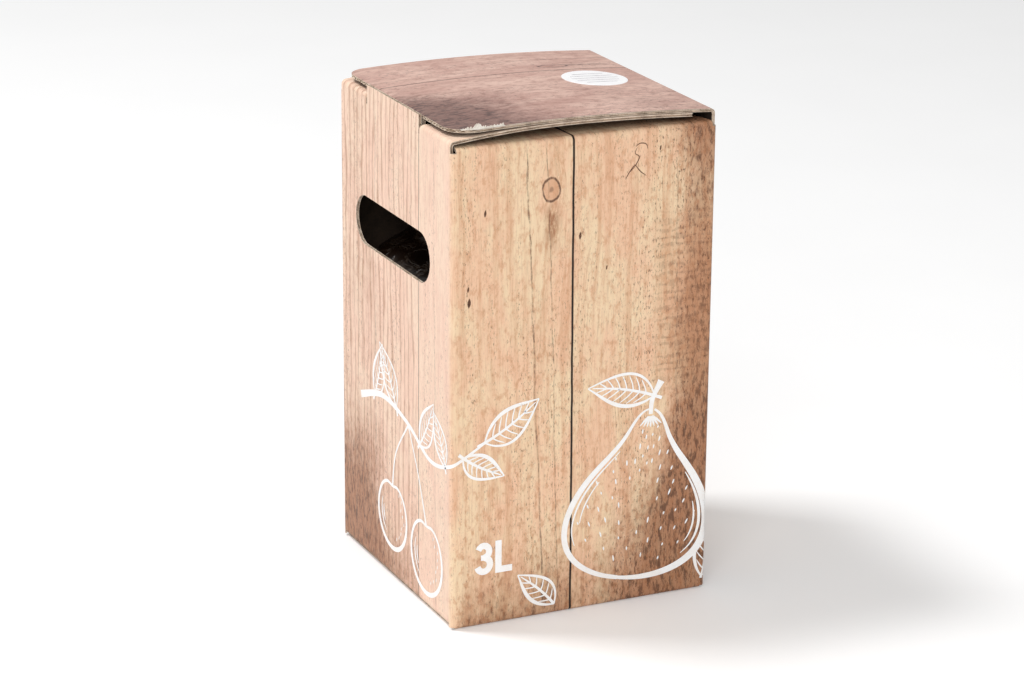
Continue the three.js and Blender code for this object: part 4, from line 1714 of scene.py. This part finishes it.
@dataclass
class CapacityMark:
    """The plain mark that gives the capacity, a figure and the letter for litres."""

    ink: Print
    left: float = -55.6
    foot: float = 26.0
    height: float = 16.5
    weight: float = 3.3

    def draw(self) -> None:
        """Draws the figure and the letter."""
        weight = (self.weight,) * 3
        inset = self.weight / 2
        low, high = self.foot + inset, self.foot + self.height - inset
        middle = (low + high) / 2 + 0.5
        bowl = 3.3
        centre = self.left + 4.4
        upper = (high - middle) / 2
        lower = (middle - low) / 2
        top_bowl = [
            (centre + (bowl - 0.4) * math.cos(a), middle + upper + upper * math.sin(a))
            for a in steps(math.radians(160), math.radians(-80), 10)
        ]
        low_bowl = [
            (centre + bowl * math.cos(a), low + lower + lower * math.sin(a))
            for a in steps(math.radians(80), math.radians(-165), 10)
        ]
        self.ink.draw(Stroke(top_bowl, weight))
        self.ink.draw(Stroke(low_bowl, weight))
        self.ink.draw(Stroke([(centre - 1.4, middle), (centre + 0.8, middle)], (self.weight * 0.85,) * 3))
        stem = self.left + 12.1
        self.ink.draw(Stroke([(stem, self.foot), (stem, self.foot + self.height)], weight))
        self.ink.draw(Stroke([(stem - inset, low), (stem + 7.2, low)], weight))


@dataclass
class WoodFigure:
    """Small dark marks of the plank print: a forked check and a few dents."""

    ink: Print

    def draw(self) -> None:
        """Draws the marks."""
        for points in (
            [(25.2, 227.8), (27.4, 229.2), (30.6, 228.6), (31.6, 226.0)],
            [(26.0, 227.4), (25.0, 224.6), (27.2, 222.8), (25.4, 219.0), (22.6, 216.0)],
            [(25.2, 219.0), (28.0, 215.6), (31.0, 213.4)],
            [(25.0, 219.4), (22.0, 215.6), (20.2, 212.6)],
        ):
            self.ink.draw(Stroke(points, (0.2, 0.5, 0.15)))
        for spot, size in (
            ((-51.5, 204.0), 1.2),
            ((-59.9, 168.6), 1.0),
            ((-59.4, 162.0), 1.7),
            ((-3.0, 188.0), 1.3),
            ((38.0, 226.0), 0.9),
            ((11.0, 171.0), 0.8),
        ):
            low, high = (spot[0], spot[1] - size * 1.4), (spot[0] + 0.4, spot[1] + size * 1.4)
            self.ink.draw(Stroke([low, high], (0.2, size, 0.2)))


@dataclass
class LidLabel:
    """A round white label on the lid, bare but for a few ruled lines to write on."""

    carton: CartonBoard
    centre: Point = (4.0, -39.0)
    radius: float = 16.2
    thickness: float = 0.12
    spokes: int = 64

    def build(self, materials: Sequence[Material]) -> Piece:
        """Builds the label with its rings and lines.

        Args:
            materials: The finishes, in the order of the faces' numbers.

        Returns:
            The label.
        """
        ink = Print(self.carton.on_lid)
        parts = ink.parts
        rings: list[list[int]] = []
        hub = parts.add_corner(self.carton.on_lid(*self.centre, self.thickness), self.centre)
        levels = [(radius, 1.0) for radius in (4.0, 8.0, 12.0, self.radius - 0.15)]
        for radius, lift in (*levels, (self.radius, 0.1)):
            ring = []
            for i in range(self.spokes):
                angle = 2 * math.pi * i / self.spokes
                spot = (self.centre[0] + radius * math.cos(angle), self.centre[1] + radius * math.sin(angle))
                place = self.carton.on_lid(spot[0], spot[1], self.thickness * lift)
                ring.append(parts.add_corner(place, spot))
            rings.append(ring)
        for i in range(self.spokes):
            j = (i + 1) % self.spokes
            parts.add_face([hub, rings[0][i], rings[0][j]])
            for inner, outer in zip(rings, rings[1:]):
                parts.add_face([inner[i], outer[i], outer[j], inner[j]])
        for offset, half in ((-8.4, 8.2), (-4.2, 11.2), (0.0, 12.4), (4.2, 11.2), (8.4, 8.2)):
            first = (self.centre[0] + offset, self.centre[1] + half)
            last = (self.centre[0] + offset, self.centre[1] - half)
            ink.draw(Stroke([first, last], (0.35, 0.35, 0.35)), 1, self.thickness + 0.05)
        return parts.build("lid_label", materials)


@dataclass
class TornEdge:
    """The torn liner on the lid's front edge: a ragged white strip with small curled flakes."""

    carton: CartonBoard
    first: float = -61.0
    last: float = -40.5
    peak: float = -54.0

    def build(self, material: Material) -> Piece:
        """Builds the torn strip and its flakes.

        Args:
            material: The finish.

        Returns:
            The strip.
        """
        sizes = self.carton.sizes
        parts = MeshParts()
        edge_middle = sizes.depth / 2 - sizes.lid_side_gap

        def edge(x: float) -> float:
            """Returns the y of the lid's front edge."""
            past = max(0.0, (sizes.lid_edge + sizes.lid_corner) - x)
            inset = sizes.lid_corner - math.sqrt(max(0.0, sizes.lid_corner**2 - past**2))
            return -edge_middle + inset

        count = 64
        rows = []
        for i, x in enumerate(steps(self.first, self.last, count)):
            fade = smooth(i, 0, 8) * smooth(count - i, 0, 10)
            tear = (0.25 + 1.1 * scatter(i, 1.0) * (0.4 + scatter(i // 4, 2.0))) * fade
            tear += 2.3 * math.exp(-((x - self.peak) ** 2) / 3.0)
            y = edge(x)
            spots = [(y - 0.1, -0.25), (y - 0.02, 0.1), (y + tear * 0.6, 0.14), (y + tear, 0.03)]
            places = [(self.carton.on_lid(across, -x, lift), (across, x)) for across, lift in spots]
            rows.append([parts.add_corner(*place) for place in places])
        for first, second in zip(rows, rows[1:]):
            for j in range(3):
                parts.add_face([first[j], second[j], second[j + 1], first[j + 1]])
        for i in range(22):
            x = self.first + 1.0 + (self.last - self.first - 2.0) * i / 21 + scatter(i, 5.0) * 0.5
            tall = 0.5 + 1.0 * scatter(i, 6.0) + 2.4 * math.exp(-((x - self.peak) ** 2) / 2.2)
            wide = 0.45 + 0.5 * scatter(i, 7.0) + 1.3 * math.exp(-((x - self.peak) ** 2) / 2.2)
            self.add_flake(parts, edge(x) + 0.12, x, tall, wide, 0.5 * scatter(i, 8.0))
        return parts.build("torn_liner", [material], 60.0)

    def add_flake(self, parts: MeshParts, y: float, x: float, tall: float, wide: float, curl: float) -> None:
        """Adds one flake of liner that stands up from the edge and curls over it.

        Args:
            parts: The mesh that it goes into.
            y: Where it stands.
            x: Where it stands.
            tall: Its height.
            wide: Half its width at the foot.
            curl: How far it leans out over the edge.
        """
        rows = []
        for q in steps(0.0, 1.0, 4):
            half = wide * (1 - q) ** 0.7 + 0.05
            across = y - curl * q * q * tall
            for side in (0.0, 0.1):
                lift = 0.05 + tall * q
                ends = [self.carton.on_lid(across + side, -x - way * half, lift) for way in (-1, 1)]
                rows.append([parts.add_corner(end, (y, x)) for end in ends])
        for i in range(0, len(rows) - 2, 2):
            front_low, back_low, front_high, back_high = rows[i], rows[i + 1], rows[i + 2], rows[i + 3]
            parts.add_face([front_low[0], front_low[1], front_high[1], front_high[0]])
            parts.add_face([back_low[1], back_low[0], back_high[0], back_high[1]])
            parts.add_face([front_low[1], back_low[1], back_high[1], front_high[1]])
            parts.add_face([back_low[0], front_low[0], front_high[0], back_high[0]])
        tip_front, tip_back = rows[-2], rows[-1]
        parts.add_face([tip_front[0], tip_front[1], tip_back[1], tip_back[0]])


# Repeats


class Repeats:
    """Small blocks set evenly along a guide line with Geometry Nodes."""

    def __init__(self, name: str) -> None:
        """Builds the node group.

        Args:
            name: The group's name.
        """
        self.group = bpy.data.node_groups.new(name, "GeometryNodeTree")
        self.sockets: dict[str, str] = {}
        self.add_socket("Geometry", "NodeSocketGeometry")
        self.add_socket("Count", "NodeSocketInt")
        self.add_socket("Block", "NodeSocketVector")
        self.add_socket("Centre", "NodeSocketVector")
        self.add_socket("Facing", "NodeSocketVector")
        self.add_socket("Material", "NodeSocketMaterial")
        self.group.interface.new_socket(name="Geometry", in_out="OUTPUT", socket_type="NodeSocketGeometry")
        self.build()

    def add_socket(self, name: str, kind: str) -> None:
        """Adds a named input to the group."""
        made = self.group.interface.new_socket(name=name, in_out="INPUT", socket_type=kind)
        self.sockets[name] = made.identifier

    def node(self, kind: str, links: dict[object, Socket], **settings: object) -> bpy.types.Node:
        """Adds a node.

        Args:
            kind: The node's type.
            links: The sockets that feed its inputs, by name or number.
            **settings: Its properties.

        Returns:
            The node.
        """
        made = self.group.nodes.new(kind)
        for key, value in settings.items():
            setattr(made, key, value)
        for key, source in links.items():
            self.group.links.new(source, made.inputs[key])
        return made

    def build(self) -> None:
        """Makes the nodes: even points on the guide, a turned block on each, joined and given a material."""
        given = self.group.nodes.new("NodeGroupInput").outputs
        line = self.node("GeometryNodeMeshToCurve", {"Mesh": given["Geometry"]})
        even = self.node("GeometryNodeResampleCurve", {"Curve": line.outputs[0], "Count": given["Count"]})
        block = self.node("GeometryNodeMeshCube", {"Size": given["Block"]})
        place = self.node("GeometryNodeInputPosition", {})
        away = self.node(
            "ShaderNodeVectorMath", {0: place.outputs[0], 1: given["Centre"]}, operation="SUBTRACT"
        )
        facing = self.node(
            "ShaderNodeVectorMath", {0: away.outputs[0], 1: given["Facing"]}, operation="MULTIPLY"
        )
        tangent = self.node("GeometryNodeInputTangent", {})
        up = self.node("FunctionNodeAlignEulerToVector", {"Vector": facing.outputs[0]}, axis="Z")
        along = self.node(
            "FunctionNodeAlignEulerToVector",
            {"Rotation": up.outputs[0], "Vector": tangent.outputs[0]},
            axis="X",
            pivot_axis="Z",
        )
        set_out = self.node(
            "GeometryNodeInstanceOnPoints",
            {"Points": even.outputs[0], "Instance": block.outputs["Mesh"], "Rotation": along.outputs[0]},
        )
        joined = self.node("GeometryNodeRealizeInstances", {"Geometry": set_out.outputs[0]})
        dressed = self.node(
            "GeometryNodeSetMaterial", {"Geometry": joined.outputs[0], "Material": given["Material"]}
        )
        self.node("NodeGroupOutput", {0: dressed.outputs[0]})

    def spread(
        self,
        name: str,
        guide: Sequence[Vector],
        count: int,
        block: Vector,
        centre: Vector,
        facing: Vector,
        material: Material,
    ) -> Piece:
        """Sets blocks along a guide line and keeps the result as a plain mesh.

        Args:
            name: The name of the object that is made.
            guide: The corners of the guide line, in millimetres.
            count: How many blocks there are, ends included.
            block: A block's size along the line, across it and outwards, in millimetres.
            centre: The point that the blocks face away from, in millimetres.
            facing: The weight of each axis in the way that they face.
            material: Their material.

        Returns:
            The object.
        """
        mesh = bpy.data.meshes.new(name)
        mesh.from_pydata([tuple(p * MM) for p in guide], [(i, i + 1) for i in range(len(guide) - 1)], [])
        obj = add_object(name, mesh)
        modifier = obj.modifiers.new("Repeats", "NODES")
        modifier.node_group = self.group
        modifier[self.sockets["Count"]] = count
        modifier[self.sockets["Block"]] = tuple(block * MM)
        modifier[self.sockets["Centre"]] = tuple(centre * MM)
        modifier[self.sockets["Facing"]] = tuple(facing)
        modifier[self.sockets["Material"]] = material
        graph = bpy.context.evaluated_depsgraph_get()
        made = bpy.data.meshes.new_from_object(obj.evaluated_get(graph))
        obj.modifiers.clear()
        obj.data = made
        return obj


@dataclass
class TapDoor:
    """The perforated door in the right wall, and the crease that it swings on."""

    sizes: CartonSizes
    repeats: Repeats
    half_width: float = 22.0
    round_centre: float = 38.0
    crease_height: float = 78.0
    slit: Point3 = (5.2, 0.6, 0.12)
    pitch: float = 7.5

    def outline(self) -> list[Vector]:
        """Returns the line of the perforation: down one side, round below and up the other."""
        x = self.sizes.width / 2
        bend = arc((0.0, self.round_centre), self.half_width, -math.pi, 0.0, 36)
        sides = steps(self.crease_height - 3.0, self.round_centre, 6)[:-1]
        left = [(-self.half_width, z) for z in sides]
        right = [(self.half_width, z) for z in reversed(sides)]
        return [Vector((x, y, z)) for y, z in (*left, *bend, *right)]

    def build(self, material: Material) -> Piece:
        """Sets dark blocks along the door's outline: painted shade that stands for the slits of the
        perforation.

        Args:
            material: The finish.

        Returns:
            The slits.
        """
        line = self.outline()
        length = sum((b - a).length for a, b in zip(line, line[1:]))
        centre = Vector((0.0, 0.0, self.round_centre))
        count = round(length / self.pitch) + 1
        outwards = Vector((1, 0, 0))
        slit = Vector(self.slit)
        return self.repeats.spread("tap_door_slit_shade", line, count, slit, centre, outwards, material)

    def draw_crease_shade(self, ink: Print) -> None:
        """Draws the painted shade of the pressed crease at the top of the door, as two thin dark lines.

        Args:
            ink: The print to draw on.
        """
        for offset in (-0.45, 0.45):
            up = self.crease_height + offset
            first, last = (self.sizes.wall_run + way * self.half_width for way in (-1, 1))
            ink.draw(Stroke([(first, up), (last, up)], (0.28, 0.34, 0.28)))


@dataclass
class CapGrip:
    """Fine ribs round the tap's cap."""

    repeats: Repeats
    radius: float = 13.55
    from_x: float = 57.3
    to_x: float = 59.7
    count: int = 40
    axis_height: float = 38.0

    def build(self, material: Material) -> Piece:
        """Sets the ribs round the cap.

        Args:
            material: The finish.

        Returns:
            The ribs.
        """
        x = (self.from_x + self.to_x) / 2
        turn = 2 * math.pi * (1 - 1 / self.count)
        line = [
            Vector((x, y, z)) for y, z in arc((0.0, self.axis_height), self.radius, 0.0, turn, self.count * 3)
        ]
        block = Vector((0.9, self.to_x - self.from_x, 0.7))
        centre = Vector((x, 0.0, self.axis_height))
        return self.repeats.spread("cap_grip", line, self.count, block, centre, Vector((0, 1, 1)), material)


# Bag


@dataclass(frozen=True)
class BagRing:
    """A level section of the bag: its height, its left and right ends and half its depth."""

    height: float
    left: float
    right: float
    half: float


@dataclass
class JuiceBag:
    """The sealed bag: film drawn tight by the juice, creased towards its weld, with a pocket for the tap."""

    bottom: float = 3.8
    shoulder: float = 150.0
    top: float = 212.0
    side: float = 65.6
    half: float = 64.8
    shift: float = -0.8
    round_radius: float = 14.0
    squareness: float = 5.0
    columns: int = 220
    rows: int = 92
    pocket_wall: float = 20.5
    pocket_half: float = 28.0
    pocket_low: float = 8.0
    pocket_high: float = 67.0
    weld_height: float = 8.0
    weld_steps: int = 44
    weld_rows: int = 6
    crown: tuple[tuple[float, float, float, float], ...] = (
        (0.0, 0.99, 1.0, 1.0),
        (0.12, 0.93, 1.0, 0.99),
        (0.24, 0.68, 0.99, 0.97),
        (0.42, 0.6, 0.96, 0.92),
        (0.64, 0.52, 0.86, 0.8),
        (0.84, 0.38, 0.65, 0.58),
        (0.96, 0.16, 0.38, 0.3),
        (1.0, 0.02, 0.12, 0.26),
    )

    def rings(self) -> list[BagRing]:
        """Returns the sections, from the bottom up."""
        made = []
        for angle in steps(0.0, math.pi / 2, 8):
            inset = self.round_radius * (1 - math.sin(angle))
            height = self.bottom + self.round_radius * (1 - math.cos(angle))
            made.append(BagRing(height, -self.side + inset, self.side - inset, self.half - inset))
        for share, left, right, deep in self.crown:
            height = self.shoulder + (self.top - self.shoulder) * share
            made.append(BagRing(height, -self.side * left, self.side * right, self.half * deep))
        return made

    def ring_at(self, rings: list[BagRing], share: float) -> BagRing:
        """Finds the section at a place up the film.

        Args:
            rings: The bag's sections, from below.
            share: The share of the way up, measured along the side.

        Returns:
            The section there.
        """
        lengths = [0.0]
        for a, b in zip(rings, rings[1:]):
            lengths.append(lengths[-1] + math.hypot(b.height - a.height, b.half - a.half))
        want = share * lengths[-1]
        i = int(clamp(bisect_right(lengths, want) - 1, 0, len(rings) - 2))
        t = (want - lengths[i]) / (lengths[i + 1] - lengths[i])
        a, b = rings[i], rings[i + 1]
        return BagRing(*(first + (second - first) * t for first, second in zip(astuple(a), astuple(b))))

    def point(self, ring: BagRing, angle: float) -> Vector:
        """Places a point of the film, with its creases and the tap's pocket.

        Args:
            ring: The section.
            angle: The angle round the section.

        Returns:
            The point.
        """
        c, s = math.cos(angle), math.sin(angle)
        reach = (abs(c) ** self.squareness + abs(s) ** self.squareness) ** (-1 / self.squareness)
        middle = (ring.left + ring.right) / 2
        x = middle + (ring.right - ring.left) / 2 * reach * c
        y = ring.half * reach * s
        z = ring.height
        rise = smooth(z, 60.0, 205.0)
        fine = 1.0 - abs(noise.noise(Vector((angle * 5.0, z * 0.012, 1.7)))) * 2.4
        wide = 1.0 - abs(noise.noise(Vector((angle * 2.1 + z * 0.008, z * 0.02, 6.1)))) * 2.0
        sink = rise * (1.9 * max(0.0, fine) ** 2 + 2.2 * max(0.0, wide) ** 3) + 0.25 * max(0.0, wide)
        size = math.hypot(x - middle, y) or 1.0
        keep = 1.0 - min(0.4, sink / size)
        x, y = middle + (x - middle) * keep, y * keep
        pocket = (
            smooth(self.pocket_half + 0.5 - abs(y), 0.0, 2.6)
            * smooth(z, self.pocket_low - 1.0, self.pocket_low + 2.0)
            * smooth(self.pocket_high + 1.0 - z, 0.0, 3.0)
        )
        if x > self.pocket_wall:
            x -= (x - self.pocket_wall) * pocket
        return Vector((x, y + self.shift, z))

    def build(self, material: Material) -> Piece:
        """Builds the bag's closed skin.

        Args:
            material: The finish.

        Returns:
            The bag.
        """
        parts = MeshParts()
        rings = self.rings()
        grid = []
        for share in steps(0.0, 1.0, self.rows):
            ring = self.ring_at(rings, share)
            row = []
            for i in range(self.columns):
                angle = 2 * math.pi * i / self.columns
                row.append(parts.add_corner(self.point(ring, angle), (angle * 80.0, ring.height)))
            grid.append(row)
        for low, high in zip(grid, grid[1:]):
            for i in range(self.columns):
                j = (i + 1) % self.columns
                parts.add_face([low[i], low[j], high[j], high[i]])
        for row, height in ((grid[0], self.bottom), (grid[-1], self.top)):
            middle = sum((parts.corners[c] for c in row), Vector()) / len(row)
            hub = parts.add_corner(Vector((middle.x, middle.y, height)), (0.0, height))
            for i in range(self.columns):
                j = (i + 1) % self.columns
                parts.add_face([hub, row[j], row[i]] if height == self.bottom else [hub, row[i], row[j]])
        self.add_weld(parts, rings[-1])
        return parts.build("juice_bag", [material], 60.0)

    def add_weld(self, parts: MeshParts, ring: BagRing) -> None:
        """Adds the flat weld that closes the bag along its top.

        Args:
            parts: The bag's mesh.
            ring: The bag's top section.
        """
        middle = (ring.left + ring.right) / 2
        faces: list[list[list[int]]] = [[], []]
        for i, y in enumerate(steps(-ring.half * 1.7, ring.half * 1.7, self.weld_steps)):
            for side, way in enumerate((-1, 1)):
                row = []
                for q in steps(0.0, 1.0, self.weld_rows):
                    lean = 5.0 * q * q + 0.6 * math.sin(i * 0.5 + q * 2.0)
                    droop = 1.4 * (abs(y) / (ring.half * 1.7)) ** 2 * 4.0
                    x = middle + lean + way * 0.15
                    height = self.top - 1.5 - droop + self.weld_height * q * (1 - 0.2 * q)
                    row.append(parts.add_corner(Vector((x, y + self.shift, height)), (y, height)))
                faces[side].append(row)
        for side, rows in enumerate(faces):
            for a, b in zip(rows, rows[1:]):
                for j in range(self.weld_rows):
                    ring_of = [a[j], b[j], b[j + 1], a[j + 1]]
                    parts.add_face(ring_of if side else ring_of[::-1])
        near, far = faces
        for a, b, c, d in zip(near, near[1:], far, far[1:]):
            parts.add_face([c[-1], d[-1], b[-1], a[-1]])
            parts.add_face([a[0], b[0], d[0], c[0]])
        for j in range(self.weld_rows):
            parts.add_face([near[0][j], far[0][j], far[0][j + 1], near[0][j + 1]])
            parts.add_face([near[-1][j + 1], far[-1][j + 1], far[-1][j], near[-1][j]])


# Stage


@dataclass
class Studio:
    """A white floor, soft lights and a camera that stands where the photograph was taken, in metres."""

    azimuth: float = math.radians(-24.893)
    elevation: float = math.radians(18.277)
    roll: float = math.radians(0.472)
    distance: float = 1.5748
    aim: Point3 = (0.0, 0.0, 0.118)
    shift_right: float = -0.005215
    shift_up: float = -0.002605
    lens: float = 113.02
    sensor: float = 36.0
    floor_size: float = 12.0
    glow: float = 0.1

    def add_camera(self) -> None:
        """Adds the camera."""
        cos_az, sin_az = math.cos(self.azimuth), math.sin(self.azimuth)
        cos_el, sin_el = math.cos(self.elevation), math.sin(self.elevation)
        back = Vector((sin_az * cos_el, -cos_az * cos_el, sin_el))
        level = Vector((cos_az, sin_az, 0.0))
        rise = back.cross(level)
        cos_roll, sin_roll = math.cos(self.roll), math.sin(self.roll)
        right = level * cos_roll + rise * sin_roll
        up = rise * cos_roll - level * sin_roll
        place = Vector(self.aim) + back * self.distance + right * self.shift_right + up * self.shift_up
        camera = add_object("camera", bpy.data.cameras.new("camera"))
        camera.data.lens = self.lens
        camera.data.sensor_width = self.sensor
        turn = Matrix((right, up, back)).transposed()
        camera.matrix_world = Matrix.Translation(place) @ turn.to_4x4()
        bpy.context.scene.camera = camera

    def add_floor(self) -> None:
        """Adds the floor, which looks white to the camera and keeps the object's shadow."""
        graph = Graph("white_floor")
        seen = graph.node("ShaderNodeLightPath").outputs["Is Camera Ray"]
        mottle = graph.noise(graph.node("ShaderNodeTexCoord").outputs["Object"], 9.0)
        material = graph.finish(
            Base_Color=graph.mix(mottle, linear("fbfbfb"), linear("f7f7f7")),
            Roughness=0.9,
            Specular_IOR_Level=0.1,
            Emission_Color=graph.mix(seen, (0.0, 0.0, 0.0, 1.0), (self.glow, self.glow, self.glow, 1.0)),
            Emission_Strength=1.0,
        )
        half = self.floor_size / 2
        mesh = bpy.data.meshes.new("floor")
        corners = [(-half, -half, 0.0), (half, -half, 0.0), (half, half, 0.0), (-half, half, 0.0)]
        mesh.from_pydata(corners, [], [(0, 1, 2, 3)])
        mesh.materials.append(material)
        add_object("floor", mesh)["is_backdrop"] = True

    def add_light(self, name: str, place: Point3, aim: Point3, size: float, power: float) -> None:
        """Adds a square soft light.

        Args:
            name: Its name.
            place: Where it hangs, in metres.
            aim: The point that it faces.
            size: Its side, in metres.
            power: Its power in watts.
        """
        light = bpy.data.lights.new(name, "AREA")
        light.shape = "SQUARE"
        light.size = size
        light.energy = power
        obj = add_object(name, light)
        obj.location = place
        obj.rotation_euler = (Vector(aim) - Vector(place)).to_track_quat("-Z", "Y").to_euler()

    def add_world(self, strength: float) -> None:
        """Adds even white light from all sides.

        Args:
            strength: The light's strength.
        """
        world = bpy.data.worlds.new("studio")
        world.use_nodes = True
        sky = world.node_tree.nodes["Background"].inputs
        sky["Color"].default_value = (1.0, 1.0, 1.0, 1.0)
        sky["Strength"].default_value = strength
        bpy.context.scene.world = world

    def build(self) -> None:
        """Builds the studio."""
        bpy.context.scene.view_settings.view_transform = "Standard"
        self.add_camera()
        self.add_floor()
        self.add_world(0.45)
        self.add_light("key", (-0.95, 0.65, 2.2), (0.0, 0.0, 0.1), 0.5, 30.0)
        self.add_light("front", (-1.3, -2.4, 1.7), (0.0, 0.0, 0.1), 2.0, 40.0)


# Assembly


@dataclass
class Carton:
    """The whole object: every piece is made and dressed, and all but the lid's board are given to a body."""

    frame: dict[str, object]
    sizes: CartonSizes = field(default_factory=CartonSizes)
    board: Board = field(default_factory=Board)

    def __post_init__(self) -> None:
        """Makes the parts that others are built on."""
        self.shell = CartonBoard(self.sizes, self.board)
        self.repeats = Repeats("blocks_along_line")
        self.plain = {finish: finish.build() for finish in PlainFinish}

    def give(self, obj: Piece, body: str, slot: str, *nodes: str) -> None:
        """Gives a piece to a body and reports it.

        Args:
            obj: The piece.
            body: The body that it rides on.
            slot: Not used.
            *nodes: The CAD nodes that it replaces.
        """
        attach(obj, body)
        if nodes:
            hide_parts(*nodes)
        self.report(obj, body)

    def report(self, obj: Piece, body: str) -> None:
        """Logs a piece, its body and its number of faces."""
        log.info("%s: on %s, %d faces", obj.name, body, len(obj.data.polygons))

    def build_board(self) -> None:
        """Builds the carton and its lid."""
        tones = WoodTones("f5d9b4", "f3c8a6", "ce946c", "a26b47", "573624", "1d110c")
        grey = WoodTones("e0bdae", "cba396", "a67c70", "7a5a52", "4b3937", "271b1a")
        # The inner face's finish carries painted shade as well as the kraft's brown.
        edge, face = self.plain[PlainFinish.KRAFT_EDGE], self.plain[PlainFinish.INNER_KRAFT_AND_SHADE]
        carton = self.shell.build_carton([WoodPrint("plank_print", tones).build(), edge, face])
        self.give(carton, "box", "printed_board", "carton")
        lid = self.shell.build_lid([LidPrint("lid_print", grey).build(), edge, face])
        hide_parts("lid")
        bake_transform(lid)
        self.report(lid, "box and lid")

    def build_print(self) -> None:
        """Builds the ink layers, the label and the torn liner."""
        white = Print(self.shell.on_walls, self.sizes.ring_bottom)
        FruitDrawing(white).draw()
        CapacityMark(white).draw()
        drawing = white.parts.build("white_drawing", [self.plain[PlainFinish.WHITE_INK]])
        self.give(drawing, "box", "printed_board")
        dark = Print(self.shell.on_walls, self.sizes.ring_bottom)
        WoodFigure(dark).draw()
        # Painted shade: the tap door's crease is drawn in dark lines beside the wood marks.
        TapDoor(self.sizes, self.repeats).draw_crease_shade(dark)
        marks = dark.parts.build("dark_marks", [self.plain[PlainFinish.WOOD_MARK_AND_CREASE_SHADE]])
        self.give(marks, "box", "printed_board")
        label_finishes = [self.plain[PlainFinish.LABEL], self.plain[PlainFinish.LABEL_LINE]]
        self.give(LidLabel(self.shell).build(label_finishes), "lid", "printed_board")
        torn = TornEdge(self.shell).build(self.plain[PlainFinish.TORN_LINER])
        self.give(torn, "lid", "printed_board")

    def build_tap(self) -> None:
        """Dresses the spout and the tap, and adds the perforation of the door that hides them, its slits
        drawn as painted shade.
        """
        slits = TapDoor(self.sizes, self.repeats).build(self.plain[PlainFinish.CUT_SHADOW])
        self.give(slits, "box", "printed_board")
        grip = CapGrip(self.repeats).build(self.plain[PlainFinish.TAP])
        self.give(grip, "box", "tap_plastic")
        for node, finish in (
            ("spout", PlainFinish.SPOUT),
            ("tap_body", PlainFinish.TAP),
            ("tap_cap", PlainFinish.TAP),
            ("tap_stem", PlainFinish.TAP),
            ("tap_diaphragm", PlainFinish.RUBBER),
            ("tap_button", PlainFinish.BUTTON),
        ):
            for slot in self.frame["nodes"][node].material_slots:
                slot.material = self.plain[finish]
            log.info("%s: the packed solid, dressed as %s", node, finish.name.lower())

    def build(self) -> None:
        """Builds everything."""
        self.build_board()
        self.build_print()
        self.build_tap()
        self.give(JuiceBag().build(JuiceFilm().build()), "box", "bag_film", "bag")


def main() -> None:
    """Loads the frame, builds the object and its studio, and logs both boxes."""
    logging.basicConfig(level=logging.INFO, format="%(name)s: %(message)s")
    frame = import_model()
    cad_box = [list(corner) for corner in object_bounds()]
    Carton(frame).build()
    Studio().build()
    visual_box = [list(corner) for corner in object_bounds()]
    for name, box in (("CAD", cad_box), ("visual", visual_box)):
        log.info("%s box in mm: %s", name, [[round(v / MM, 2) for v in corner] for corner in box])
    faces = sum(len(obj.data.polygons) for obj in bpy.data.objects if obj.type == "MESH")
    log.info("%d faces in all", faces)


if __name__ == "__main__":
    main()
